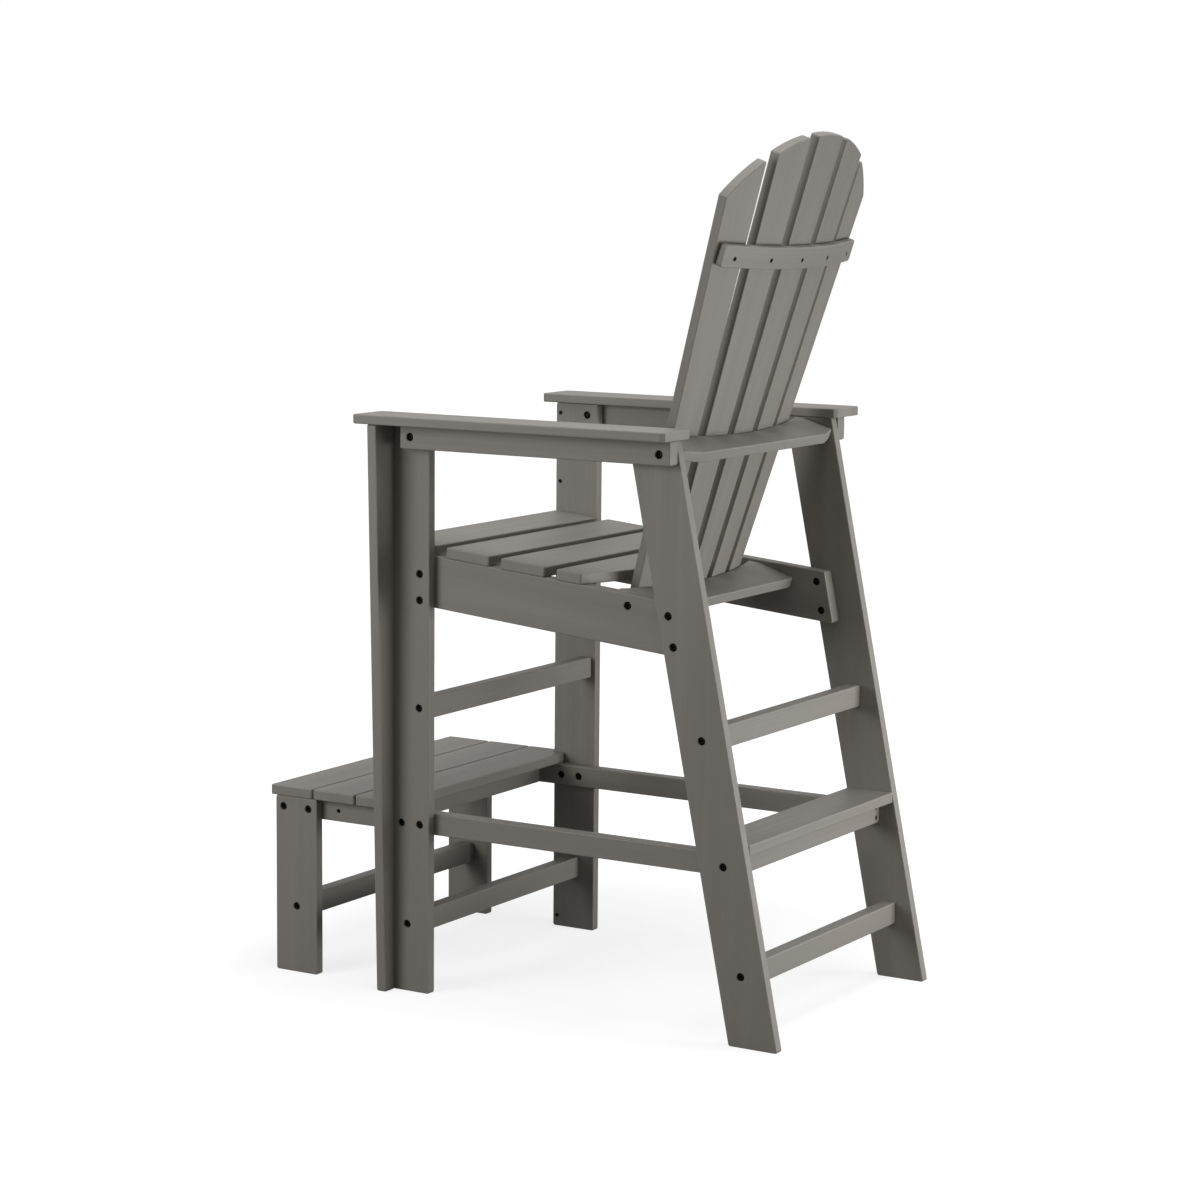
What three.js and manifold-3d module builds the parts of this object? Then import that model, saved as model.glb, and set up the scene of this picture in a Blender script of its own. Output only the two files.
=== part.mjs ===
// A raised outdoor armchair of flat plastic lumber, as a lifeguard uses: two side frames, a
// tilted seat, a fan-shaped back, a footrest platform in front and a ladder behind.
// Millimetres, +Z up. The sitter faces -Y and the sitter's left is +X.
// Inside the chair, y = 0 is the front edge of the front legs and z = 0 is the floor.

import * as THREE from 'three';
import { mergeVertices } from 'three/addons/utils/BufferGeometryUtils.js';
import Module from 'manifold-3d';

const wasm = await Module();
wasm.setup();

// Lumber: two widths, the plain boards thinner than the rails and cross boards, with eased
// edges, and the gap left where boards meet.
const wideBoard = 89;
const narrowBoard = 38;
const boardThickness = 18;
const railThickness = 25.4;
const easedEdge = 2;
const seam = 0.3;

// Side frames.
const legOuterFace = 282;
const armTop = 1005;
const rearLegFoot = 682;
const rearLegRake = 11.59;
const bracketFoot = 29.3;
const bracketHead = 57.4;

// Arms and the rails under them.
const armThickness = 15.9;
const armOuterEdge = 346;
const armNose = 27.8;
const armLength = 611.7;
const armCorner = 6.3;
const armRailHeight = 41;
const armRailFront = 46.3;
const armRailLength = 527.7;
const armBoltSetback = 20;

// Seat: the rails' top edge starts at this height and falls towards the back.
const seatRailHeight = 770.9;
const seatFall = 5.14;
const seatRailInset = 4;
const seatRailOverlap = 40.5;
const seatSlatGap = 22.1;
const seatSlatCount = 4;
const seatSlatOverhang = 2;
const seatApronScrewDrops = [20, 69];
const seatFrontBoltLine = 69;
const seatFrontBoltDrops = [32, 77.4];
const seatRearBoltDrops = [21.8, 72.3];

// Back supports: the upper one bolts to the rear legs, the lower one to the seat rails.
const upperBoltDrop = 23.1;
const upperBoltSetback = 69;
const lowerBoltRun = 474.6;
const lowerBoltDrop = 20;
const supportSetback = 18;
const upperSupportRear = 32.2;
const lowerSupportRear = 43.7;
const supportTaperRun = 47;
const supportTaperDepth = 16;
const supportCornerRun = 14;
const supportCornerDepth = 12;

// Back slats: a shallow fan, concave towards the sitter, cut to one arch at the top.
const slatCount = 5;
const slatUpperPitch = 85.3;
const slatLowerPitch = 74.2;
const slatUpperWidth = 65;
const slatLowerWidth = 55.2;
const fanRadius = 912;
const archRise = 533.5;
const archRadius = 312;
const slatTail = 12;
const battenRise = 323.7;
const battenThickness = 12;
const battenInset = 8;
const battenScrewDrop = 3.5;

// Last seat slat: its rear edge follows the fan.
const seatBackClearance = 52.3;

// Cross boards between the front legs: height of the lower edge and setback of the front face.
const upperStretcherHeight = 481.4;
const upperStretcherSetback = 55.2;
const lowerStretcherHeight = 100;
const lowerStretcherSetback = 31.1;

// Footrest platform.
const platformTop = 334;
const platformFront = 248;
const platformSlatCount = 3;
const platformSlatGap = 2.5;
const platformSlatOverhang = 2;
const platformNotchClearance = 2;
const platformLegInset = 9.4;
const platformStretcherInset = 31.9;
const frontApronSetback = 3.9;
const middleApronSetback = 110.7;
const rearApronSetback = 198.7;
const platformRearBoltSetback = 70.4;
const lowRailFrontBolts = [31.3, 69.5];

// Rear ladder, placed along the rear legs.
const upperRungHeight = 481.4;
const upperRungSetback = 32.1;
const lowerRungHeight = 99.5;
const lowerRungSetback = 32.6;
const treadSetback = 2;
const treadSupportSetback = 33.6;

// Bolts, nuts and screws, each sunk in a recess.
const recessDiameter = 14;
const boltSink = 3;
const boltHeadDiameter = 12;
const boltHeadHeight = 5;
const boltDiameter = 8;
const boltBite = 40;
const nutWidth = 10.8;
const nutHeight = 5;
const boltTipSink = 1.5;
const screwSink = 2.5;
const screwHeadDiameter = 7;
const screwHeadHeight = 2.5;
const screwDiameter = 4;
const screwBite = 14;
const bracketScrewDrops = [18.8, 145.8];
const bracketScrewFoot = 20;
const treadScrewSpread = 18;

// Fineness of the curved shapes, and how far a cutter runs past the face it cuts.
const fixingSides = 10;
const nutSides = 6;
const arcSteps = 24;
const slatArchSteps = 6;
const cutOverrun = 4;

// Places worked out from the sizes above.
const legInnerFace = legOuterFace - boardThickness;
const legTop = armTop - armThickness - seam;
const railOuterFace = legInnerFace - seam;
const railInnerFace = railOuterFace - railThickness;
const armInnerEdge = armOuterEdge - wideBoard;
const rake = Math.tan(THREE.MathUtils.degToRad(rearLegRake));
const rearLegWidth = wideBoard / Math.cos(THREE.MathUtils.degToRad(rearLegRake));
const fall = THREE.MathUtils.degToRad(seatFall);
const platformUnderside = platformTop - boardThickness;
const lowRailTop = platformUnderside - seam;
const lowRailMiddle = lowRailTop - narrowBoard / 2;
const supportHalfLength = legInnerFace - seam;
const sides = [['left', 1], ['right', -1]];

const lumber = new THREE.MeshStandardMaterial({ color: 0x77726b, roughness: 0.62, metalness: 0 });
const darkSteel = new THREE.MeshStandardMaterial({ color: 0x1b1a19, roughness: 0.45, metalness: 0.8 });

// The three ways a board lies: on edge along the chair, on edge across it, and flat.
const alongX = new THREE.Vector3(1, 0, 0);
const alongY = new THREE.Vector3(0, 1, 0);
const alongZ = new THREE.Vector3(0, 0, 1);
const lieAlong = new THREE.Matrix4().makeBasis(alongY, alongZ, alongX);
const lieAcross = new THREE.Matrix4().makeBasis(alongX, alongZ, alongY.clone().negate());
const lieFlat = new THREE.Matrix4();

function toManifold(geometry) {
  const bare = geometry.clone();
  bare.deleteAttribute('normal');
  bare.deleteAttribute('uv');
  const merged = mergeVertices(bare);
  return new wasm.Manifold(new wasm.Mesh({
    numProp: 3,
    vertProperties: new Float32Array(merged.attributes.position.array),
    triVerts: new Uint32Array(merged.index.array),
  }));
}

function toGeometry(manifold) {
  const mesh = manifold.getMesh();
  const geometry = new THREE.BufferGeometry();
  geometry.setAttribute('position', new THREE.BufferAttribute(new Float32Array(mesh.vertProperties), 3));
  geometry.setIndex(new THREE.BufferAttribute(new Uint32Array(mesh.triVerts), 1));
  geometry.computeVertexNormals();
  return geometry;
}

function boardGeometry(outline, thickness) {
  const shape = new THREE.Shape(outline.map(([u, v]) => new THREE.Vector2(u, v)));
  const geometry = new THREE.ExtrudeGeometry(shape, {
    depth: thickness - 2 * easedEdge,
    bevelSegments: 1,
    bevelThickness: easedEdge,
    bevelSize: easedEdge,
    bevelOffset: -easedEdge,
  });
  return geometry.translate(0, 0, easedEdge);
}

function board(name, outline, lie, [x, y, z], thickness = boardThickness) {
  const mesh = new THREE.Mesh(boardGeometry(outline, thickness), lumber.clone());
  mesh.name = name;
  mesh.quaternion.setFromRotationMatrix(lie);
  mesh.position.set(x, y, z);
  return mesh;
}

function rectangle(u0, u1, v0, v1) {
  return [[u0, v0], [u1, v0], [u1, v1], [u0, v1]];
}

// A board on edge along the chair, whose face nearest the middle plane lies at this distance.
function sideBoard(name, outline, sign, nearFace, thickness = boardThickness) {
  const start = sign > 0 ? nearFace : -nearFace - thickness;
  return board(name, outline, lieAlong, [start, 0, 0], thickness);
}

function rearLegFront(height) {
  return rearLegFoot - rake * height;
}

// A point of the chair in the seat's tilted frame, and the other way round.
function seatToChair(run, rise) {
  return [
    run * Math.cos(fall) + rise * Math.sin(fall),
    seatRailHeight - run * Math.sin(fall) + rise * Math.cos(fall),
  ];
}

// Height of the seat rails' top edge at a place along the chair.
function seatRailTop(y) {
  return seatRailHeight - y * Math.tan(fall);
}

// Run along the seat, at a given rise, of an upright line y = base - slope * z.
function seatRunOfLine(base, slope, rise) {
  const across = base - slope * seatRailHeight - rise * (Math.sin(fall) + slope * Math.cos(fall));
  return across / (Math.cos(fall) - slope * Math.sin(fall));
}

function frontLegs() {
  const outline = rectangle(0, wideBoard, 0, legTop);
  return sides.map(([side, sign]) => (
    sideBoard(`front_leg_${side}`, outline, sign, legInnerFace)
  ));
}

// Tapered boards across the front legs' outer faces, which widen upwards to carry the arms.
function armBrackets() {
  const inner = legOuterFace + seam;
  return sides.map(([side, sign]) => {
    const outline = [
      [sign * inner, 0],
      [sign * (legOuterFace + bracketFoot), 0],
      [sign * (legOuterFace + bracketHead), legTop],
      [sign * inner, legTop],
    ];
    const turnedOutline = sign > 0 ? outline : outline.reverse();
    return board(`arm_bracket_${side}`, turnedOutline, lieAcross, [0, boardThickness, 0]);
  });
}

function rearLegs() {
  const outline = [
    [rearLegFront(0), 0],
    [rearLegFront(0) + rearLegWidth, 0],
    [rearLegFront(legTop) + rearLegWidth, legTop],
    [rearLegFront(legTop), legTop],
  ];
  return sides.map(([side, sign]) => (
    sideBoard(`rear_leg_${side}`, outline, sign, legInnerFace)
  ));
}

function arms() {
  return sides.map(([side, sign]) => {
    const near = Math.min(sign * armInnerEdge, sign * armOuterEdge);
    const far = near + wideBoard;
    const front = -armNose;
    const rear = front + armLength;
    const outline = [
      [near + armCorner, front], [far - armCorner, front], [far, front + armCorner],
      [far, rear - armCorner], [far - armCorner, rear], [near + armCorner, rear],
      [near, rear - armCorner], [near, front + armCorner],
    ];
    return board(`arm_${side}`, outline, lieFlat, [0, 0, armTop - armThickness], armThickness);
  });
}

function armRails() {
  const rear = armRailFront + armRailLength;
  const outline = rectangle(armRailFront, rear, legTop - armRailHeight, legTop);
  return sides.map(([side, sign]) => (
    sideBoard(`arm_rail_${side}`, outline, sign, legOuterFace + seam, railThickness)
  ));
}

function seatRails() {
  const rearBase = rearLegFoot + seatRailOverlap;
  const outline = [
    [seatRunOfLine(seatRailInset, 0, -wideBoard), -wideBoard],
    [seatRunOfLine(rearBase, rake, -wideBoard), -wideBoard],
    [seatRunOfLine(rearBase, rake, 0), 0],
    [seatRunOfLine(seatRailInset, 0, 0), 0],
  ];
  return sides.map(([side, sign]) => (
    sideBoard(`seat_rail_${side}`, outline, sign, railInnerFace, railThickness)
  ));
}

// The upright board on edge under the front slat, between the front ends of the seat rails.
function seatApron() {
  const half = railInnerFace - seam;
  const rearFace = seatRailInset + boardThickness;
  const top = seatRailTop(rearFace);
  const outline = rectangle(-half, half, top - wideBoard, top);
  return board('seat_apron', outline, lieAcross, [0, rearFace, 0]);
}

function seatSlats() {
  const slats = [];
  for (let i = 0; i < seatSlatCount; i += 1) {
    const front = i * (wideBoard + seatSlatGap);
    const betweenLegs = front < wideBoard;
    const half = legInnerFace + (betweenLegs ? -seatSlatOverhang : seatSlatOverhang);
    const last = i === seatSlatCount - 1;
    const outline = last
      ? lastSeatSlatOutline(front, half)
      : rectangle(-half, half, front, front + wideBoard);
    slats.push(board(`seat_slat_${i + 1}`, outline, lieFlat, [0, 0, seam]));
  }
  return slats;
}

// The rear edge is an arc with the fan's radius, or the full board where the arc lies behind it.
function lastSeatSlatOutline(front, half) {
  const apex = lowerBoltRun - seatBackClearance;
  const outline = [[-half, front], [half, front]];
  for (let i = 0; i <= arcSteps / 2; i += 1) {
    const x = half - (2 * half * i) / (arcSteps / 2);
    const rear = apex - fanRadius + Math.sqrt(fanRadius ** 2 - x ** 2);
    outline.push([x, Math.min(rear, front + wideBoard)]);
  }
  return outline;
}

// Places along the back, measured from the upper support's bolts down to the lower one's.
const upperBolt = (() => {
  const z = legTop - upperBoltDrop;
  return [rearLegFront(z) + upperBoltSetback, z];
})();
const lowerBolt = seatToChair(lowerBoltRun, -lowerBoltDrop);
const backLean = Math.atan2(upperBolt[0] - lowerBolt[0], upperBolt[1] - lowerBolt[1]);
const supportSpacing = Math.hypot(upperBolt[0] - lowerBolt[0], upperBolt[1] - lowerBolt[1]);

// One back slat's frame: its rear face's middle line, its width direction and its rear normal.
function slatFrame(index) {
  const anchor = (pitch, rise) => {
    const angle = (index * pitch) / fanRadius;
    return new THREE.Vector3(
      fanRadius * Math.sin(angle),
      fanRadius * (Math.cos(angle) - 1) - supportSetback,
      rise,
    );
  };
  const upper = anchor(slatUpperPitch, 0);
  const lower = anchor(slatLowerPitch, -supportSpacing);
  const up = upper.clone().sub(lower).normalize();
  const middle = (index * (slatUpperPitch + slatLowerPitch)) / 2 / fanRadius;
  const rearward = new THREE.Vector3(Math.sin(middle), Math.cos(middle), 0);
  rearward.addScaledVector(up, -rearward.dot(up)).normalize();
  const across = rearward.clone().cross(up);
  return { upper, up, rearward, across };
}

const slatIndices = Array.from({ length: slatCount }, (_, i) => (slatCount - 1) / 2 - i);

function slatHalfWidth(run) {
  return (slatUpperWidth + ((slatUpperWidth - slatLowerWidth) * run) / supportSpacing) / 2;
}

// Run along a slat at which its edge point, seen square to the back, meets the arch.
function runToArch(frame, edgeShare) {
  let run = archRise;
  for (let i = 0; i < arcSteps; i += 1) {
    const offset = edgeShare * slatHalfWidth(run);
    const x = frame.upper.x + frame.up.x * run + frame.across.x * offset;
    const height = archRise - archRadius + Math.sqrt(Math.max(archRadius ** 2 - x ** 2, 0));
    run = (height - frame.across.z * offset) / frame.up.z;
  }
  return run;
}

function backSlats() {
  return slatIndices.map((index, i) => {
    const frame = slatFrame(index);
    const foot = -supportSpacing - boardThickness / 2 - slatTail;
    const outline = [[-slatHalfWidth(foot), foot], [slatHalfWidth(foot), foot]];
    for (let step = 0; step <= slatArchSteps; step += 1) {
      const edgeShare = 1 - (2 * step) / slatArchSteps;
      const run = runToArch(frame, edgeShare);
      outline.push([edgeShare * slatHalfWidth(run), run]);
    }
    const forward = frame.across.clone().cross(frame.up);
    const lie = new THREE.Matrix4().makeBasis(frame.across, frame.up, forward);
    return board(`back_slat_${i + 1}`, outline, lie, frame.upper.toArray());
  });
}

// Corners of all slats' rear faces at one height, as places across and behind the bolt line.
function rearCorners(run) {
  return slatIndices.map(slatFrame).flatMap((frame) => [-1, 1].map((edge) => {
    const point = frame.upper.clone().addScaledVector(frame.up, run);
    point.addScaledVector(frame.across, edge * slatHalfWidth(run));
    return [point.x, point.y];
  }));
}

// Radius, about a centre in front of the back, of the arc that just clears all those corners.
function clearingRadius(centre, runs) {
  const reaches = runs.flatMap((run) => rearCorners(run).map(([x, y]) => Math.hypot(x, y - centre)));
  return Math.max(...reaches) + seam;
}

// A cross board whose front edge is hollowed to the fan and whose ends narrow to meet the frame.
function supportOutline(halfLength, rear, run, taper, corner) {
  const centre = -supportSetback - fanRadius;
  const reach = [run - boardThickness / 2, run + boardThickness / 2];
  const radius = clearingRadius(centre, reach);
  const front = rear - wideBoard;
  const arcHalf = Math.sqrt(Math.max(radius ** 2 - (front - centre) ** 2, 0));
  const hollow = Math.min(arcHalf, halfLength - corner.run - seam);
  const right = [];
  for (let i = 0; i <= arcSteps / 2; i += 1) {
    const x = (hollow * i) / (arcSteps / 2);
    right.push([x, Math.max(centre + Math.sqrt(radius ** 2 - x ** 2), front)]);
  }
  right.push([halfLength - corner.run, front]);
  right.push([halfLength - corner.tip, front + corner.depth]);
  right.push([halfLength, front + corner.depth + corner.tip]);
  right.push([halfLength, rear - taper.depth]);
  right.push([halfLength - taper.run, rear]);
  const left = right.slice(1).reverse().map(([x, y]) => [-x, y]);
  return [...right, ...left];
}

// The upper support's front corners stay below the arms, which its rising front would reach.
function upperBackSupport() {
  const topAtBolt = upperBolt[1] + (boardThickness / 2) * Math.cos(backLean);
  const clearFront = (topAtBolt - (legTop - seam)) / Math.sin(backLean);
  const tip = supportHalfLength - (armInnerEdge - seam);
  const corner = {
    run: tip + supportCornerRun,
    tip: Math.max(tip, easedEdge),
    depth: Math.max(clearFront + seam - (upperSupportRear - wideBoard), supportCornerDepth),
  };
  const taper = { run: supportTaperRun, depth: supportTaperDepth };
  const outline = supportOutline(supportHalfLength, upperSupportRear, 0, taper, corner);
  return board('upper_back_support', outline, lieFlat, [0, 0, -boardThickness / 2]);
}

function lowerBackSupport() {
  const halfLength = railInnerFace - seam;
  const corner = { run: supportCornerRun, tip: easedEdge, depth: supportCornerDepth };
  const taper = { run: supportCornerRun, depth: easedEdge };
  const outline = supportOutline(halfLength, lowerSupportRear, -supportSpacing, taper, corner);
  const middle = -supportSpacing - boardThickness / 2;
  return board('lower_back_support', outline, lieFlat, [0, 0, middle]);
}

// The arc behind the slats that touches the middle slat's and the outer slats' corners.
function battenArc() {
  const corners = rearCorners(battenRise);
  const outer = corners.reduce((a, b) => (b[0] > a[0] ? b : a));
  const inner = corners.reduce((a, b) => (b[1] > a[1] ? b : a));
  const drop = inner[1] - outer[1];
  const depth = (outer[0] ** 2 - inner[0] ** 2 + drop ** 2) / (2 * drop);
  const centre = inner[1] - depth;
  const reach = [battenRise - narrowBoard / 2, battenRise + narrowBoard / 2];
  return { centre, radius: clearingRadius(centre, reach), halfLength: outer[0] - battenInset };
}

function backBatten() {
  const { centre, radius, halfLength } = battenArc();
  const halfAngle = Math.asin(halfLength / radius);
  const arc = (r, from, to) => {
    const points = [];
    for (let i = 0; i <= arcSteps / 2; i += 1) {
      const angle = from + ((to - from) * i) / (arcSteps / 2);
      points.push([r * Math.sin(angle), centre + r * Math.cos(angle)]);
    }
    return points;
  };
  const chordRadius = radius / Math.cos(halfAngle / (arcSteps / 2));
  const plan = [
    ...arc(chordRadius, halfAngle, -halfAngle),
    ...arc(radius + battenThickness, -halfAngle, halfAngle),
  ];
  const shape = new THREE.Shape(plan.map(([x, y]) => new THREE.Vector2(x, y)));
  const geometry = new THREE.ExtrudeGeometry(shape, {
    depth: narrowBoard - 2 * easedEdge,
    bevelSegments: 1,
    bevelThickness: easedEdge,
    bevelSize: easedEdge,
    bevelOffset: -easedEdge,
  });
  const mesh = new THREE.Mesh(geometry.translate(0, 0, easedEdge), lumber.clone());
  mesh.name = 'back_batten';
  mesh.position.z = battenRise - narrowBoard / 2;
  return mesh;
}

function crossBoard(name, halfLength, frontFace, foot) {
  const outline = rectangle(-halfLength, halfLength, foot, foot + narrowBoard);
  return board(name, outline, lieAcross, [0, frontFace + railThickness, 0], railThickness);
}

const lowRailFront = platformLegInset - platformFront;

// Front face and foot of each board that ties the two side frames together.
const crossBoards = {
  upper_front_stretcher: { y: upperStretcherSetback, foot: upperStretcherHeight },
  lower_front_stretcher: { y: lowerStretcherSetback, foot: lowerStretcherHeight },
  platform_stretcher: { y: lowRailFront + platformStretcherInset, foot: lowerStretcherHeight },
  upper_ladder_rung: {
    y: rearLegFront(upperRungHeight + narrowBoard / 2) + upperRungSetback,
    foot: upperRungHeight,
  },
  lower_ladder_rung: {
    y: rearLegFront(lowerRungHeight + narrowBoard / 2) + lowerRungSetback,
    foot: lowerRungHeight,
  },
  tread_support: { y: rearLegFront(lowRailMiddle) + treadSupportSetback, foot: lowRailTop - narrowBoard },
};

function stretchersAndRungs() {
  return Object.entries(crossBoards).map(([name, { y, foot }]) => (
    crossBoard(name, legInnerFace - seam, y, foot)
  ));
}

const apronFaces = {
  front_platform_apron: lowRailFront + frontApronSetback,
  middle_platform_apron: lowRailFront + middleApronSetback,
  rear_platform_apron: lowRailFront + rearApronSetback,
};

function platformAprons() {
  return Object.entries(apronFaces).map(([name, y]) => (
    crossBoard(name, railInnerFace - seam, y, lowRailTop - narrowBoard)
  ));
}

function lowSideRails() {
  const rear = crossBoards.tread_support.y - seam;
  const outline = rectangle(lowRailFront, rear, lowRailTop - narrowBoard, lowRailTop);
  return sides.map(([side, sign]) => (
    sideBoard(`low_side_rail_${side}`, outline, sign, railInnerFace, railThickness)
  ));
}

function platformLegs() {
  const outline = rectangle(lowRailFront, lowRailFront + wideBoard, 0, lowRailTop);
  return sides.map(([side, sign]) => (
    sideBoard(`platform_leg_${side}`, outline, sign, legInnerFace)
  ));
}

// The rearmost slat is notched around the front legs where it reaches between them.
function platformSlats() {
  const half = legOuterFace + platformSlatOverhang;
  const neck = legInnerFace - platformNotchClearance;
  const notch = -platformNotchClearance;
  const slats = [];
  for (let i = 0; i < platformSlatCount; i += 1) {
    const front = i * (wideBoard + platformSlatGap) - platformFront;
    const rear = front + wideBoard;
    const outline = rear > notch
      ? [[-half, front], [half, front], [half, notch], [neck, notch], [neck, rear],
        [-neck, rear], [-neck, notch], [-half, notch]]
      : rectangle(-half, half, front, rear);
    slats.push(board(`platform_slat_${i + 1}`, outline, lieFlat, [0, 0, platformUnderside]));
  }
  return slats;
}

function ladderTread() {
  const front = rearLegFront(platformUnderside + boardThickness / 2) + treadSetback;
  const half = legInnerFace - seam;
  const outline = rectangle(-half, half, front, front + wideBoard);
  return board('ladder_tread', outline, lieFlat, [0, 0, platformUnderside]);
}

// A turned solid about +Y from its radii and depths, for fixings and for the holes around them.
function turned(profile) {
  const points = profile.map(([radius, y]) => new THREE.Vector2(radius, y));
  return new THREE.LatheGeometry(points, fixingSides);
}

function boltGeometry(grip) {
  const head = boltHeadDiameter / 2;
  const shank = boltDiameter / 2;
  const underHead = -boltSink - boltHeadHeight;
  return turned([
    [0, -grip], [shank, -grip], [shank, underHead], [head, underHead], [head, -boltSink], [0, -boltSink],
  ]);
}

// The room a clamp bolt needs: a recess at the head, a clearance hole and a recess at the nut.
function boltHole(depth) {
  const recess = recessDiameter / 2;
  const hole = boltDiameter / 2 + seam;
  const floor = -boltSink - boltHeadHeight - seam;
  return turned([
    [0, -depth - cutOverrun], [recess, -depth - cutOverrun], [recess, -depth - floor],
    [hole, -depth - floor], [hole, floor], [recess, floor], [recess, cutOverrun], [0, cutOverrun],
  ]);
}

// The same for a bolt that bites into the board beyond the given depth.
function boltPassage(depth) {
  const recess = recessDiameter / 2;
  const hole = boltDiameter / 2 + seam;
  const floor = -boltSink - boltHeadHeight - seam;
  return turned([
    [0, -depth - seam / 2], [hole, -depth - seam / 2], [hole, floor],
    [recess, floor], [recess, cutOverrun], [0, cutOverrun],
  ]);
}

// The nut, threaded on the bolt's end, is one solid with it.
function nutGeometry() {
  const cornerRadius = nutWidth / 2 / Math.cos(Math.PI / nutSides);
  return new THREE.CylinderGeometry(cornerRadius, cornerRadius, nutHeight, nutSides);
}

function screwGeometry(length) {
  const head = screwHeadDiameter / 2;
  const shank = screwDiameter / 2;
  const underHead = -screwSink - screwHeadHeight;
  return turned([
    [0, -length], [shank, -length + shank], [shank, underHead - shank],
    [head, -screwSink - seam], [head, -screwSink], [0, -screwSink],
  ]);
}

function screwPassage(thickness) {
  const recess = screwHeadDiameter / 2 + seam;
  const hole = screwDiameter / 2 + seam;
  const underHead = -screwSink - screwHeadHeight;
  const end = -thickness - seam / 2;
  return turned([
    [0, end], [hole, end], [hole, underHead - hole],
    [recess, -screwSink - 2 * seam], [recess, cutOverrun], [0, cutOverrun],
  ]);
}

// A fixing's place: its mouth on the board's face and the direction that the face looks.
function placed(geometry, mouth, outward) {
  const turn = new THREE.Quaternion().setFromUnitVectors(alongY, outward);
  const matrix = new THREE.Matrix4().compose(mouth, turn, new THREE.Vector3(1, 1, 1));
  return geometry.clone().applyMatrix4(matrix);
}

function sidePlaced(geometry, sign, face, [y, z]) {
  return placed(geometry, new THREE.Vector3(sign * face, y, z), alongX.clone().multiplyScalar(sign));
}

// Clamp bolts hold two boards face to face: a bolt with its nut is one piece of its own.
const clampDepth = boardThickness + seam + railThickness;
const armRailFace = legOuterFace + seam + railThickness;

function seatBoltPlaces() {
  const front = seatFrontBoltDrops.map((drop) => (
    [seatFrontBoltLine, seatRailTop(seatFrontBoltLine) - drop]
  ));
  const rear = seatRearBoltDrops.map((drop) => {
    const middle = (z) => rearLegFront(z) + seatRailOverlap / 2;
    const z = seatRailTop(middle(seatRailHeight)) - drop;
    return [middle(z), z];
  });
  return [...front, ...rear];
}

function clamps() {
  const lowRailPlaces = lowRailFrontBolts.map((y) => [y, lowRailMiddle]);
  const platformPlaces = [[lowRailFront + platformRearBoltSetback, lowRailMiddle]];
  const armPlaces = [[armRailFront + armBoltSetback, legTop - armRailHeight / 2]];
  const rows = [
    ['seat_bolt', legOuterFace, seatBoltPlaces()],
    ['low_rail_bolt', legOuterFace, lowRailPlaces],
    ['platform_bolt', legOuterFace, platformPlaces],
    ['arm_rail_bolt', armRailFace, armPlaces],
  ];
  return rows.flatMap(([name, face, places]) => sides.flatMap(([side, sign]) => (
    places.map((place, i) => ({ name: `${name}_${side}_${i + 1}`, sign, face, place }))
  )));
}

function clampBolts() {
  const bolt = toManifold(boltGeometry(clampDepth - boltTipSink));
  const nut = toManifold(nutGeometry().translate(0, boltSink + nutHeight / 2 - clampDepth, 0));
  const solid = toGeometry(bolt.add(nut));
  return clamps().map(({ name, sign, face, place }) => {
    const mesh = new THREE.Mesh(solid, darkSteel.clone());
    mesh.name = name;
    mesh.position.set(sign * face, ...place);
    mesh.quaternion.setFromUnitVectors(alongY, alongX.clone().multiplyScalar(sign));
    return mesh;
  });
}

function clampHoles() {
  const hole = boltHole(clampDepth);
  return clamps().map(({ sign, face, place }) => sidePlaced(hole, sign, face, place));
}

// The other fixings bite into one board and belong to it: each row has the board's name, the
// fixing's shape, the hole it passes through and its places.
const legBoltDepth = boardThickness + boltBite;
const railBoltDepth = railThickness + boltBite;
const doubleDepth = clampDepth + boltBite;

function endBolts(name, face, depth, place) {
  const solid = boltGeometry(depth);
  const hole = boltPassage(depth - boltBite);
  return {
    name,
    solids: sides.map(([, sign]) => sidePlaced(solid, sign, face, place)),
    holes: sides.map(([, sign]) => sidePlaced(hole, sign, face, place)),
  };
}

function stretcherBolts() {
  const rows = Object.entries(crossBoards).map(([name, { y, foot }]) => (
    endBolts(name, legOuterFace, legBoltDepth, [y + railThickness / 2, foot + narrowBoard / 2])
  ));
  const frontApron = [apronFaces.front_platform_apron + railThickness / 2, lowRailMiddle];
  return [
    ...rows,
    endBolts('lower_back_support', railOuterFace, railBoltDepth, lowerBolt),
    endBolts('front_platform_apron', legOuterFace, doubleDepth, frontApron),
    endBolts('upper_back_support', armRailFace, doubleDepth, upperBolt),
  ];
}

function screws(name, thickness, places) {
  const solid = screwGeometry(thickness + screwBite);
  const hole = screwPassage(thickness);
  return {
    name,
    solids: places.map(([mouth, outward]) => placed(solid, mouth, outward)),
    holes: places.map(([mouth, outward]) => placed(hole, mouth, outward)),
  };
}

// Screws from inside the front legs into the brackets' edges.
function bracketScrews() {
  const heights = [bracketScrewFoot, ...bracketScrewDrops.map((drop) => legTop - drop)];
  return sides.map(([side, sign]) => screws(`arm_bracket_${side}`, boardThickness, heights.map((z) => [
    new THREE.Vector3(sign * legInnerFace, boardThickness / 2, z),
    alongX.clone().multiplyScalar(-sign),
  ])));
}

// Screws through the tread's support into the ends of the low side rails.
function treadScrews() {
  const face = crossBoards.tread_support.y + railThickness;
  const middle = (railOuterFace + railInnerFace) / 2;
  return sides.map(([side, sign]) => {
    const name = `low_side_rail_${side}`;
    return screws(name, railThickness, [-1, 1].map((step) => [
      new THREE.Vector3(sign * middle, face, lowRailMiddle + (step * treadScrewSpread) / 2),
      alongY,
    ]));
  });
}

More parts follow.
